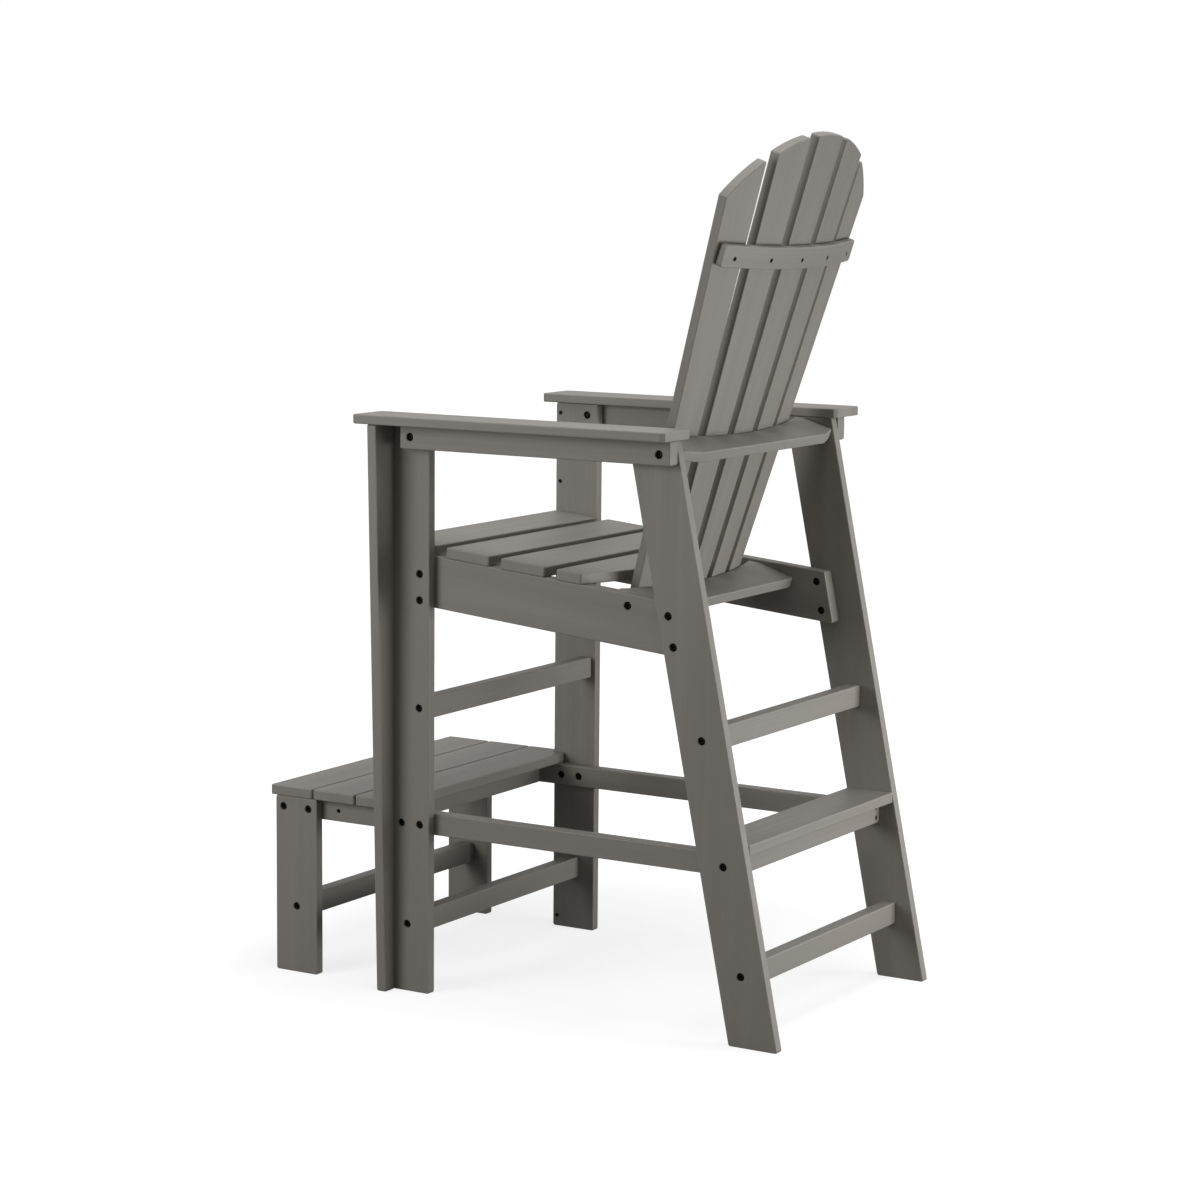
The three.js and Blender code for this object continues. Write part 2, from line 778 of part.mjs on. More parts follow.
// One screw through each low side rail into each end of the two rear aprons.
function apronScrews() {
  return ['middle_platform_apron', 'rear_platform_apron'].map((name) => (
    screws(name, railThickness, sides.map(([, sign]) => [
      new THREE.Vector3(sign * railOuterFace, apronFaces[name] + railThickness / 2, lowRailMiddle),
      alongX.clone().multiplyScalar(sign),
    ]))
  ));
}

// Two screws through each seat rail, behind the front leg, into each end of the seat's apron.
function seatApronScrews() {
  const y = seatRailInset + boardThickness / 2;
  const places = sides.flatMap(([, sign]) => seatApronScrewDrops.map((drop) => [
    new THREE.Vector3(sign * railOuterFace, y, seatRailTop(y) - drop),
    alongX.clone().multiplyScalar(sign),
  ]));
  return screws('seat_apron', railThickness, places);
}

// Screws through the batten, one into the middle of each slat.
function battenScrews(backMatrix) {
  const { centre, radius } = battenArc();
  return slatIndices.map((index, i) => {
    const frame = slatFrame(index);
    const angle = Math.asin((frame.upper.x + frame.up.x * battenRise) / radius);
    const outward = new THREE.Vector3(Math.sin(angle), Math.cos(angle), 0);
    const mouth = new THREE.Vector3(0, centre, battenRise - battenScrewDrop);
    mouth.addScaledVector(outward, radius + battenThickness);
    mouth.applyMatrix4(backMatrix);
    const direction = outward.transformDirection(backMatrix);
    return screws(`back_slat_${i + 1}`, battenThickness, [[mouth, direction]]);
  });
}

// Cut the holes out of a board and join the fixings that bite into it, in the board's own frame.
function fit(boardMesh, holes, bites) {
  const toBoard = boardMesh.matrixWorld.clone().invert();
  boardMesh.geometry.computeBoundingBox();
  let solid = toManifold(boardMesh.geometry);
  for (const hole of holes) {
    const cutter = hole.clone().applyMatrix4(toBoard);
    cutter.computeBoundingBox();
    if (cutter.boundingBox.intersectsBox(boardMesh.geometry.boundingBox)) {
      solid = solid.subtract(toManifold(cutter));
    }
  }
  for (const bite of bites) solid = solid.add(toManifold(bite.clone().applyMatrix4(toBoard)));
  boardMesh.geometry = toGeometry(solid);
}

function buildChair() {
  const frame = new THREE.Group();
  frame.add(
    ...frontLegs(), ...armBrackets(), ...rearLegs(), ...arms(), ...armRails(),
    ...stretchersAndRungs(), ...lowSideRails(), ...platformLegs(), ...platformAprons(),
    ...platformSlats(), ladderTread(), seatApron(),
  );

  const seat = new THREE.Group();
  seat.position.z = seatRailHeight;
  seat.rotation.x = -fall;
  seat.add(...seatRails(), ...seatSlats());

  const back = new THREE.Group();
  back.position.set(0, upperBolt[0], upperBolt[1]);
  back.rotation.x = -backLean;
  back.add(...backSlats(), upperBackSupport(), lowerBackSupport(), backBatten());

  const chair = new THREE.Group();
  chair.add(frame, seat, back);
  chair.updateMatrixWorld(true);

  const biting = [
    ...stretcherBolts(), ...bracketScrews(), ...treadScrews(), ...apronScrews(),
    seatApronScrews(), ...battenScrews(back.matrixWorld),
  ];
  const holes = [...clampHoles(), ...biting.flatMap((row) => row.holes)];
  for (const boardMesh of [...frame.children, ...seat.children, ...back.children]) {
    const own = biting.filter((row) => row.name === boardMesh.name);
    fit(boardMesh, holes, own.flatMap((row) => row.solids));
  }
  chair.add(...clampBolts());

  // The origin of the part is the middle of its footprint, on the floor.
  chair.position.y = -(rearLegFront(0) + rearLegWidth - platformFront) / 2;
  const part = new THREE.Group();
  part.add(chair);
  return part;
}

export default buildChair();
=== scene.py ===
import math

import bpy
import numpy as np
from mathutils import Matrix, Vector
from mathutils.geometry import delaunay_2d_cdt


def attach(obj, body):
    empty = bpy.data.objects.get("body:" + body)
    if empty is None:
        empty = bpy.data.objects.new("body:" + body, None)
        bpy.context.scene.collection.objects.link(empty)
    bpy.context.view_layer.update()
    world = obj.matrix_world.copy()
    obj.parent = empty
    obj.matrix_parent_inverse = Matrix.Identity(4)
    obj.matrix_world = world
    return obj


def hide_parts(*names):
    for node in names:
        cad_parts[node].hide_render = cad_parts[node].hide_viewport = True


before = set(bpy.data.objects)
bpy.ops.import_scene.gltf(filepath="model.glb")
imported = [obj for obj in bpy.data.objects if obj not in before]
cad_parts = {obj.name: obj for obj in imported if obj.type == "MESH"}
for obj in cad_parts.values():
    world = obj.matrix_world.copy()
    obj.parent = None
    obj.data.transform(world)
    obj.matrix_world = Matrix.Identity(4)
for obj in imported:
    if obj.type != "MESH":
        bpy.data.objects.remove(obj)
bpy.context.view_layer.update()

# A raised outdoor armchair of flat plastic lumber. Metres, +Z up, the sitter faces -Y and the
# sitter's left is +X. The sizes are those of the frame's solids, but for the height of the
# back's arch. In the chair's own frame y = 0 is the front edge of the front legs and z = 0 is
# the floor.

# Lumber.
WIDE = 0.089
NARROW = 0.038
THICK = 0.018
RAIL_THICK = 0.0254
SEAM = 0.0003

# Side frames, arms and the rails under them.
LEG_OUTER = 0.282
ARM_TOP = 1.005
REAR_LEG_FOOT = 0.682
REAR_LEG_RAKE = math.radians(11.59)
BRACKET_FOOT = 0.0293
BRACKET_HEAD = 0.0574
ARM_OUTER = 0.346
ARM_THICK = 0.0159
ARM_NOSE = 0.0278
ARM_LENGTH = 0.6117
ARM_CUT = 0.0063
ARM_RAIL_HEIGHT = 0.041
ARM_RAIL_FRONT = 0.0463
ARM_RAIL_LENGTH = 0.5277
ARM_BOLT_SETBACK = 0.020

# Seat.
SEAT_RAIL_HEIGHT = 0.7709
SEAT_FALL = math.radians(5.14)
SEAT_RAIL_INSET = 0.004
SEAT_RAIL_OVERLAP = 0.0405
SEAT_SLAT_GAP = 0.0221
SEAT_SLAT_COUNT = 4
SEAT_SLAT_OVERHANG = 0.002
SEAT_FRONT_BOLT_LINE = 0.069
SEAT_FRONT_BOLT_DROPS = (0.032, 0.0774)
SEAT_REAR_BOLT_DROPS = (0.0218, 0.0723)
SEAT_BACK_CLEARANCE = 0.0523
SEAT_APRON_SCREW_DROPS = (0.020, 0.069)

# Back.
UPPER_BOLT_DROP = 0.0231
UPPER_BOLT_SETBACK = 0.069
LOWER_BOLT_RUN = 0.4746
LOWER_BOLT_DROP = 0.020
SUPPORT_SETBACK = 0.018
UPPER_SUPPORT_REAR = 0.0322
LOWER_SUPPORT_REAR = 0.0437
SUPPORT_TAPER = (0.047, 0.016)
SUPPORT_CORNER = (0.014, 0.012)
LOWER_SUPPORT_TIP = 0.002
SLAT_COUNT = 5
SLAT_UPPER_PITCH = 0.0853
SLAT_LOWER_PITCH = 0.0742
SLAT_UPPER_WIDTH = 0.065
SLAT_LOWER_WIDTH = 0.0552
FAN_RADIUS = 0.912
ARCH_RISE = 0.5333  # 0.2 mm below the solids' arch, so that the slats' heads stay in their box
ARCH_RADIUS = 0.312
SLAT_TAIL = 0.012
BATTEN_RISE = 0.3237
BATTEN_THICKNESS = 0.012
BATTEN_INSET = 0.008
BATTEN_SCREW_DROP = 0.0035

# Cross boards, platform and ladder.
UPPER_STRETCHER = (0.0552, 0.4814)
LOWER_STRETCHER = (0.0311, 0.1000)
PLATFORM_TOP = 0.334
PLATFORM_FRONT = 0.248
PLATFORM_SLAT_COUNT = 3
PLATFORM_SLAT_GAP = 0.0025
PLATFORM_SLAT_OVERHANG = 0.002
PLATFORM_NOTCH = 0.002
PLATFORM_LEG_INSET = 0.0094
PLATFORM_STRETCHER_INSET = 0.0319
FRONT_APRON_SETBACK = 0.0039
MIDDLE_APRON_SETBACK = 0.1107
REAR_APRON_SETBACK = 0.1987
PLATFORM_REAR_BOLT_SETBACK = 0.0704
LOW_RAIL_FRONT_BOLTS = (0.0313, 0.0695)
UPPER_RUNG = (0.0321, 0.4814)
LOWER_RUNG = (0.0326, 0.0995)
TREAD_SETBACK = 0.002
TREAD_SUPPORT_SETBACK = 0.0336

# Fixings.
RECESS_RADIUS = 0.007
BOLT_SINK = 0.003
BOLT_HEAD_RADIUS = 0.006
BOLT_HEAD_HEIGHT = 0.005
BOLT_RADIUS = 0.004
BOLT_BITE = 0.040
NUT_WIDTH = 0.0108
NUT_HEIGHT = 0.005
BOLT_TIP_SINK = 0.0015
SCREW_SINK = 0.0025
SCREW_HEAD_RADIUS = 0.0035
SCREW_HEAD_HEIGHT = 0.0025
SCREW_RADIUS = 0.002
SCREW_BITE = 0.014
BRACKET_SCREW_DROPS = (0.0188, 0.1458)
BRACKET_SCREW_FOOT = 0.020
TREAD_SCREW_SPREAD = 0.018

# Heads of the fixings, from the floor of the socket to the side: radius, depth below the top of
# the head and number of corners, 0 for a circle.
BOLT_CROWN = (
    (0.0026, 0.0030, 6), (0.0026, 0.0002, 6), (0.0029, 0.0, 6), (0.0034, 0.0, 0),
    (0.0042, 0.0003, 0), (0.0050, 0.0009, 0), (0.0056, 0.0018, 0), (0.00595, 0.0030, 0),
    (BOLT_HEAD_RADIUS, 0.0036, 0),
)
SCREW_CROWN = (
    (0.0011, 0.0015, 4), (0.0012, 0.0, 4), (0.0020, 0.0, 0),
    (SCREW_HEAD_RADIUS - 0.0002, 0.0, 0), (SCREW_HEAD_RADIUS, 0.0003, 0),
)
BOLT_HEAD_EASING = 0.0003
BOLT_NECK = 0.0004
BOLT_POINT = 0.0012
NUT_LAND = 0.0008
NUT_EASING = 0.0004
SCREW_NECK = 0.0008
SCREW_POINT = 0.0030
SCREW_POINT_RADIUS = 0.0004

# Finish of the shapes and fineness of curves, the least turns of a corner and of a sharp edge,
# how far from square to a board a hole may stand, and a hole's shortest section.
EASING = 0.0020
CORNER = 0.0040
ARM_CORNER = 0.0036
BATTEN_CORNER = 0.0055
RIM = 0.0006
SCREW_RIM = 0.0004
EASING_STEPS = 5
CORNER_STEPS = 6
BAND = 0.0006
HOLE_SIDES = 28
RIM_STEPS = 3
TURNED_SIDES = 48
ARC_STEPS = 40
HEAD_POINTS = 13
ARCH_ROUNDS = 24
BATTEN_ROWS = 5
LEAST_TURN = math.radians(12)
SHARP_ANGLE = math.radians(40)

SQUARE_TOLERANCE = 1e-4
LEAST_SECTION = 1e-5

# Filling of faces: the distance at which points merge, the least doubled area of a triangle, the
# share of a hole's radius that counts as inside it, and the mode that stays in the outline.
MERGE_DISTANCE = 1e-9
LEAST_AREA = 1e-14
HOLE_SHARE = 0.98
INSIDE_OUTLINE = 1

# The edge mask is 1 on eased edges, where a highlight is painted, 0 on flats, and this down a
# hole, where shade is painted. The grain's place on each board is drawn at random.
DOWN_HOLE = -1.0
GRAIN_SEED = 11
GRAIN_SPREAD = 7

# Places worked out from the sizes above.
LEG_INNER = LEG_OUTER - THICK
LEG_TOP = ARM_TOP - ARM_THICK - SEAM
RAIL_OUTER = LEG_INNER - SEAM
RAIL_INNER = RAIL_OUTER - RAIL_THICK
ARM_INNER = ARM_OUTER - WIDE
ARM_RAIL_FACE = LEG_OUTER + SEAM + RAIL_THICK
RAKE = math.tan(REAR_LEG_RAKE)
REAR_LEG_WIDTH = WIDE / math.cos(REAR_LEG_RAKE)
PLATFORM_UNDERSIDE = PLATFORM_TOP - THICK
LOW_RAIL_TOP = PLATFORM_UNDERSIDE - SEAM
LOW_RAIL_FOOT = LOW_RAIL_TOP - NARROW
LOW_RAIL_MIDDLE = LOW_RAIL_TOP - NARROW / 2
LOW_RAIL_FRONT = PLATFORM_LEG_INSET - PLATFORM_FRONT
CLAMP_DEPTH = THICK + SEAM + RAIL_THICK
BATTEN_EDGES = (BATTEN_RISE - NARROW / 2, BATTEN_RISE + NARROW / 2)
SIDES = (("left", 1), ("right", -1))
X, Y, Z = np.eye(3)


def rear_leg_front(height):
    """Front edge of the rear legs: a line that leans forward as it rises."""
    return REAR_LEG_FOOT - RAKE * height


def rail_height(y):
    """Height of the seat rails' top edge: a line that falls towards the back."""
    return SEAT_RAIL_HEIGHT - y * math.tan(SEAT_FALL)


def shifted(x=0.0, y=0.0, z=0.0):
    """Frame moved without a turn."""
    m = np.eye(4)
    m[:3, 3] = x, y, z
    return m


def tilted(angle):
    """Frame turned about the X axis so that its top leans towards the back."""
    m = np.eye(4)
    m[1:3, 1:3] = [[math.cos(angle), math.sin(angle)], [-math.sin(angle), math.cos(angle)]]
    return m


def lying(u, v, origin=(0, 0, 0)):
    """Frame of a board: two directions in its face, and the thickness square to both."""
    m = np.eye(4)
    m[:3, 0], m[:3, 1], m[:3, 2], m[:3, 3] = u, v, np.cross(u, v), origin
    return m


def placed(matrix, point):
    """A point of a frame, in the frame's parent."""
    return (matrix @ np.append(point, 1))[:3]


def rung(setback, foot):
    """Front face and foot of a narrow board, set back from the rear legs' edge by its middle."""
    return rear_leg_front(foot + NARROW / 2) + setback, foot


CHAIR = shifted(y=-(rear_leg_front(0) + REAR_LEG_WIDTH - PLATFORM_FRONT) / 2)
SEAT = CHAIR @ shifted(z=SEAT_RAIL_HEIGHT) @ tilted(SEAT_FALL)
UPPER_BOLT_HEIGHT = LEG_TOP - UPPER_BOLT_DROP
UPPER_BOLT = (rear_leg_front(UPPER_BOLT_HEIGHT) + UPPER_BOLT_SETBACK, UPPER_BOLT_HEIGHT)
LOWER_BOLT = (
    LOWER_BOLT_RUN * math.cos(SEAT_FALL) - LOWER_BOLT_DROP * math.sin(SEAT_FALL),
    SEAT_RAIL_HEIGHT - LOWER_BOLT_RUN * math.sin(SEAT_FALL) - LOWER_BOLT_DROP * math.cos(SEAT_FALL),
)
BACK_LEAN = math.atan2(UPPER_BOLT[0] - LOWER_BOLT[0], UPPER_BOLT[1] - LOWER_BOLT[1])
SPACING = math.hypot(UPPER_BOLT[0] - LOWER_BOLT[0], UPPER_BOLT[1] - LOWER_BOLT[1])
BACK = CHAIR @ shifted(y=UPPER_BOLT[0], z=UPPER_BOLT[1]) @ tilted(BACK_LEAN)

# Front face and foot of each board that ties the side frames together.
CROSS = {
    "upper_front_stretcher": UPPER_STRETCHER,
    "lower_front_stretcher": LOWER_STRETCHER,
    "platform_stretcher": (LOW_RAIL_FRONT + PLATFORM_STRETCHER_INSET, LOWER_STRETCHER[1]),
    "upper_ladder_rung": rung(*UPPER_RUNG),
    "lower_ladder_rung": rung(*LOWER_RUNG),
    "tread_support": (rear_leg_front(LOW_RAIL_MIDDLE) + TREAD_SUPPORT_SETBACK, LOW_RAIL_FOOT),
}
APRONS = {
    "front_platform_apron": LOW_RAIL_FRONT + FRONT_APRON_SETBACK,
    "middle_platform_apron": LOW_RAIL_FRONT + MIDDLE_APRON_SETBACK,
    "rear_platform_apron": LOW_RAIL_FRONT + REAR_APRON_SETBACK,
}


def put(name, data):
    """A new object in the scene."""
    made = bpy.data.objects.new(name, data)
    bpy.context.scene.collection.objects.link(made)
    return made


# --- materials

LUMBER_DARK = (0.185, 0.172, 0.152, 1.0)
LUMBER_LIGHT = (0.215, 0.200, 0.178, 1.0)
LUMBER_LINE = (0.150, 0.139, 0.122, 1.0)
# Painted highlight: the lighter colour laid along the eased edges.
LUMBER_EDGE_HIGHLIGHT = (0.330, 0.312, 0.282, 1.0)
# Painted shade: the near black laid on the walls down the holes.
LUMBER_PAINTED_HOLE_SHADE = (0.012, 0.011, 0.010, 1.0)
# Painted shade: the steel is near black, as the fixings stand deep in their holes.
STEEL_SHADE_DARK = (0.006, 0.006, 0.006, 1.0)
STEEL_SHADE_LIGHT = (0.015, 0.015, 0.014, 1.0)

# Noises: stretch along the board, scales, the ranges of their values and how much they show.
GRAIN_STRETCH = (3.0, 420.0, 420.0)
TONE_STRETCH = (1.2, 26.0, 26.0)
FINE_SCALE = 900.0
LINE_HEIGHT = 0.7
NOISE_RANGE = (0.3, 0.7)
# Noise that breaks up the painted highlight along the eased edges, and how strongly it shows.
HIGHLIGHT_SCALE = 60.0
HIGHLIGHT_RANGE = (0.35, 0.7)
HIGHLIGHT_LEAST = 0.55
LINE_STRENGTH = 0.22
HIGHLIGHT_STRENGTH = 0.25
LUMBER_ROUGHNESS = (0.50, 0.60)
LUMBER_IOR = 1.46
BUMP_STRENGTH = 0.25
BUMP_DISTANCE = 0.0003
STEEL_ROUGHNESS = (0.35, 0.5)


def shader_group(name, inputs, outputs):
    """An empty node group whose sockets are named and of a kind."""
    group = bpy.data.node_groups.new(name, "ShaderNodeTree")
    for way, sockets in (("INPUT", inputs), ("OUTPUT", outputs)):
        for label, kind in sockets.items():
            group.interface.new_socket(label, in_out=way, socket_type="NodeSocket" + kind)
    return group, group.nodes.new("NodeGroupInput"), group.nodes.new("NodeGroupOutput")


def node(tree, kind, values=None, **settings):
    """A shader node with its settings, and its inputs given as values or links."""
    made = tree.nodes.new("ShaderNode" + kind)
    for key, value in settings.items():
        setattr(made, key, value)
    for key, value in (values or {}).items():
        if isinstance(value, bpy.types.NodeSocket):
            tree.links.new(value, made.inputs[key])
        else:
            made.inputs[key].default_value = value
    return made


def ramp(tree, source, low, high, to_low=0.0, to_high=1.0):
    """A value stretched from one range to another and held inside it."""
    values = {
        "Value": source, "From Min": low, "From Max": high, "To Min": to_low, "To Max": to_high,
    }
    return node(tree, "MapRange", values).outputs["Result"]


def math_node(tree, operation, *values):
    """One operation on two or three values."""
    return node(tree, "Math", dict(enumerate(values)), operation=operation).outputs[0]


def noise(tree, place, scale, detail, roughness):
    """Noise of a number of octaves at a place."""
    values = {"Vector": place, "Scale": scale, "Detail": detail, "Roughness": roughness}
    return node(tree, "TexNoise", values).outputs["Fac"]


def mix(tree, factor, first, second):
    """The colour that lies a share of the way from one to another."""
    values = {"Factor": factor, "A": first, "B": second}
    return node(tree, "Mix", values, data_type="RGBA").outputs["Result"]


def brushed_grain():
    """Fine lines along the board over slow changes of tone, from noise drawn out along it."""
    outputs = {"Lines": "Float", "Tone": "Float", "Height": "Float"}
    group, given, out = shader_group("brushed_grain", {"Place": "Vector"}, outputs)
    place = given.outputs["Place"]
    drawn = node(group, "Mapping", {"Vector": place, "Scale": GRAIN_STRETCH})
    wide = node(group, "Mapping", {"Vector": place, "Scale": TONE_STRETCH})
    fine = noise(group, drawn.outputs["Vector"], 1.0, 4.0, 0.6)
    slow = noise(group, wide.outputs["Vector"], 1.0, 3.0, 0.5)
    skin = noise(group, place, FINE_SCALE, 2.0, 0.5)
    height = math_node(group, "MULTIPLY_ADD", fine, LINE_HEIGHT, skin)
    group.links.new(ramp(group, fine, *NOISE_RANGE), out.inputs["Lines"])
    group.links.new(ramp(group, slow, *NOISE_RANGE), out.inputs["Tone"])
    group.links.new(height, out.inputs["Height"])
    return group


def painted_edge_highlight():
    """Painted highlight along the eased edges: the edge mask broken up by noise."""
    inputs = {"Place": "Vector", "Edge": "Float"}
    group, given, out = shader_group("painted_edge_highlight", inputs, {"Mask": "Float"})
    patches = noise(group, given.outputs["Place"], HIGHLIGHT_SCALE, 3.0, 0.6)
    broken = ramp(group, patches, *HIGHLIGHT_RANGE, HIGHLIGHT_LEAST, 1.0)
    mask = math_node(group, "MULTIPLY", ramp(group, given.outputs["Edge"], 0.0, 1.0), broken)
    group.links.new(mask, out.inputs["Mask"])
    return group


def principled(name):
    """A new material with its shader and tree."""
    material = bpy.data.materials.new(name)
    material.use_nodes = True
    return material, material.node_tree, material.node_tree.nodes["Principled BSDF"]


def lumber_material():
    """Solid grey plastic board: brushed lines, slow tone changes, a painted highlight on the eased
    edges and painted shade down the holes."""
    material, tree, shader = principled("grey_plastic_lumber")
    place = node(tree, "Attribute", attribute_name="board_place").outputs["Vector"]
    edge = node(tree, "Attribute", attribute_name="eased_edge").outputs["Fac"]
    grain = node(tree, "Group", node_tree=GRAIN)
    tree.links.new(place, grain.inputs["Place"])
    edge_highlight = node(tree, "Group", node_tree=EDGE_HIGHLIGHT)
    tree.links.new(place, edge_highlight.inputs["Place"])
    tree.links.new(edge, edge_highlight.inputs["Edge"])
    lines = grain.outputs["Lines"]
    lined = ramp(tree, lines, 0.0, 1.0, 0.0, LINE_STRENGTH)
    # Painted highlight: the eased edges are lightened in noisy patches.
    highlighted = ramp(tree, edge_highlight.outputs["Mask"], 0.0, 1.0, 0.0, HIGHLIGHT_STRENGTH)
    colour = mix(tree, grain.outputs["Tone"], LUMBER_DARK, LUMBER_LIGHT)
    colour = mix(tree, lined, colour, LUMBER_LINE)
    colour = mix(tree, highlighted, colour, LUMBER_EDGE_HIGHLIGHT)
    # Painted shade: the walls down each hole are darkened to near black.
    colour = mix(tree, ramp(tree, edge, 0.0, DOWN_HOLE), colour, LUMBER_PAINTED_HOLE_SHADE)
    tree.links.new(colour, shader.inputs["Base Color"])
    dull = ramp(tree, lines, 0.0, 1.0, *LUMBER_ROUGHNESS)
    tree.links.new(dull, shader.inputs["Roughness"])
    bump = node(tree, "Bump", {
        "Height": grain.outputs["Height"], "Strength": BUMP_STRENGTH, "Distance": BUMP_DISTANCE,
    })
    tree.links.new(bump.outputs["Normal"], shader.inputs["Normal"])
    shader.inputs["IOR"].default_value = LUMBER_IOR
    return material


def steel_material():
    """Steel painted near black, a little dull: painted shade for the depth of the holes the fixings
    sit in.
    """
    material, tree, shader = principled("turned_steel")
    place = node(tree, "TexCoord").outputs["Object"]
    fine = noise(tree, place, FINE_SCALE, 3.0, 0.5)
    tree.links.new(mix(tree, fine, STEEL_SHADE_DARK, STEEL_SHADE_LIGHT), shader.inputs["Base Color"])
    dull = ramp(tree, fine, *NOISE_RANGE, *STEEL_ROUGHNESS)
    tree.links.new(dull, shader.inputs["Roughness"])
    shader.inputs["Metallic"].default_value = 1.0
    return material


GRAIN = brushed_grain()
EDGE_HIGHLIGHT = painted_edge_highlight()
LUMBER = lumber_material()
STEEL = steel_material()


# --- boards


def rounded(outline, corner):
    """The outline with each real corner replaced by an arc, and a point a little way along the
    straight on each side of it, so that the flats stay flat when the surface is shaded smooth."""
    points = []
    before, after = np.roll(outline, 1, 0), np.roll(outline, -1, 0)
    for p, a, b in zip(outline, before, after):
        back, ahead = (a - p) / np.linalg.norm(a - p), (b - p) / np.linalg.norm(b - p)
        turn = math.acos(np.clip(-back @ ahead, -1, 1))
        if turn < LEAST_TURN:
            points.append(p[None])
            continue
        reach = corner * math.tan(turn / 2)
        bisector = (back + ahead) / np.linalg.norm(back + ahead)
        centre = p + bisector * corner / math.cos(turn / 2)
        start, end = p + back * reach - centre, p + ahead * reach - centre
        share = np.linspace(0, 1, CORNER_STEPS + 1)[:, None]
        arc = (np.sin((1 - share) * turn) * start + np.sin(share * turn) * end) / math.sin(turn)
        band_start, band_end = p + back * (reach + BAND), p + ahead * (reach + BAND)
        points += [band_start[None], centre + arc, band_end[None]]
    return np.concatenate(points)


def inset(loop, distance):
    """The loop moved inwards by a distance, square to its edges, mitred at its points."""
    edges = np.roll(loop, -1, 0) - loop
    edges /= np.linalg.norm(edges, axis=1)[:, None]
    inward = np.stack([-edges[:, 1], edges[:, 0]], 1)
    before = np.roll(inward, 1, 0)
    mitre = (before + inward) / (1 + np.sum(before * inward, 1))[:, None]
    return loop + mitre * distance


def eased_rings(loop, depth):
    """Rings round a board from the rim of its upper face to the rim of its lower face: each edge
    is a quarter circle, with a narrow flat band on both sides of it."""
    angle = np.linspace(0, math.pi / 2, EASING_STEPS + 1)
    inward = EASING * (1 - np.sin(angle))
    drop = EASING * (1 - np.cos(angle))
    inward = np.concatenate([[EASING + BAND], inward, [0.0]])
    drop = np.concatenate([[0.0], drop, [EASING + BAND]])
    on_edge = np.concatenate([[0.0, 0.0], np.ones(EASING_STEPS - 1), [0.0, 0.0]])
    inward = np.concatenate([inward, inward[::-1]])
    height = np.concatenate([depth - drop, drop[::-1]])
    on_edge = np.concatenate([on_edge, on_edge[::-1]])
    rings = np.stack([np.c_[inset(loop, d), np.full(len(loop), h)] for d, h in zip(inward, height)])
    return rings, np.repeat(on_edge[:, None], len(loop), 1)


def hole_rings(centre, bore):
    """Rings down a hole: each entry of the bore is a radius, a height and its edge mask."""
    angle = np.arange(HOLE_SIDES) * 2 * math.pi / HOLE_SIDES
    circle = np.stack([np.cos(angle), np.sin(angle)], 1)
    rings = np.stack([
        np.c_[centre + radius * circle, np.full(HOLE_SIDES, height)] for radius, height, _ in bore
    ])
    return rings, np.repeat(np.array([[mask] for _, _, mask in bore]), HOLE_SIDES, 1)


def strip_faces(first, rings, around, outward):
    """Quads between neighbouring rings, closed round each ring."""
    k, i = np.meshgrid(np.arange(rings - 1), np.arange(around), indexing="ij")
    j = (i + 1) % around
    near, far = k * around, (k + 1) * around
    quads = first + np.stack([near + i, far + i, far + j, near + j], -1).reshape(-1, 4)
    return quads if outward else quads[:, ::-1]


def fill_faces(loop, holes, lattice):
    """Triangles over a face, from its rim to the rims of its holes, as indices into the rim's
    points, then each hole's, then the lattice's. The holes are filled as well at first, so the
    triangles whose middle lies in a hole are left out."""
    rims = [loop, *[ring for ring, _, _ in holes]]
    points = np.concatenate([*rims, lattice])
    edges, first = [], 0
    for ring in rims:
        index = np.arange(len(ring))
        edges += (first + np.stack([index, (index + 1) % len(ring)], 1)).tolist()
        first += len(ring)
    places = [Vector(p) for p in points]
    result = delaunay_2d_cdt(places, edges, [], INSIDE_OUTLINE, MERGE_DISTANCE)
    origin = np.array([source[0] for source in result[3]])
    faces = origin[np.array(result[2])]
    middle = points[faces].mean(1)
    for _, centre, radius in holes:
        keep = np.linalg.norm(middle - centre, axis=1) > radius * HOLE_SHARE
        faces, middle = faces[keep], middle[keep]
    a, b, c = points[faces[:, 0]], points[faces[:, 1]], points[faces[:, 2]]
    area = (b[:, 0] - a[:, 0]) * (c[:, 1] - a[:, 1]) - (b[:, 1] - a[:, 1]) * (c[:, 0] - a[:, 0])
    faces[area < 0] = faces[area < 0][:, ::-1]
    return faces[np.abs(area) > LEAST_AREA]


def mesh_piece(name, points, faces, material, attributes=()):
    """A closed piece from its points and faces, smooth between its sharp edges."""
    mesh = bpy.data.meshes.new(name)
    mesh.from_pydata(points.tolist(), [], [face.tolist() for group in faces for face in group])
    for label, kind, values in attributes:
        layer = mesh.attributes.new(label, kind, "POINT")
        layer.data.foreach_set("vector" if kind == "FLOAT_VECTOR" else "value", values.ravel())
    mesh.shade_smooth()
    mesh.set_sharp_from_angle(angle=SHARP_ANGLE)
    mesh.materials.append(material)
    piece = put(name, mesh)
    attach(piece, "root")
    return piece


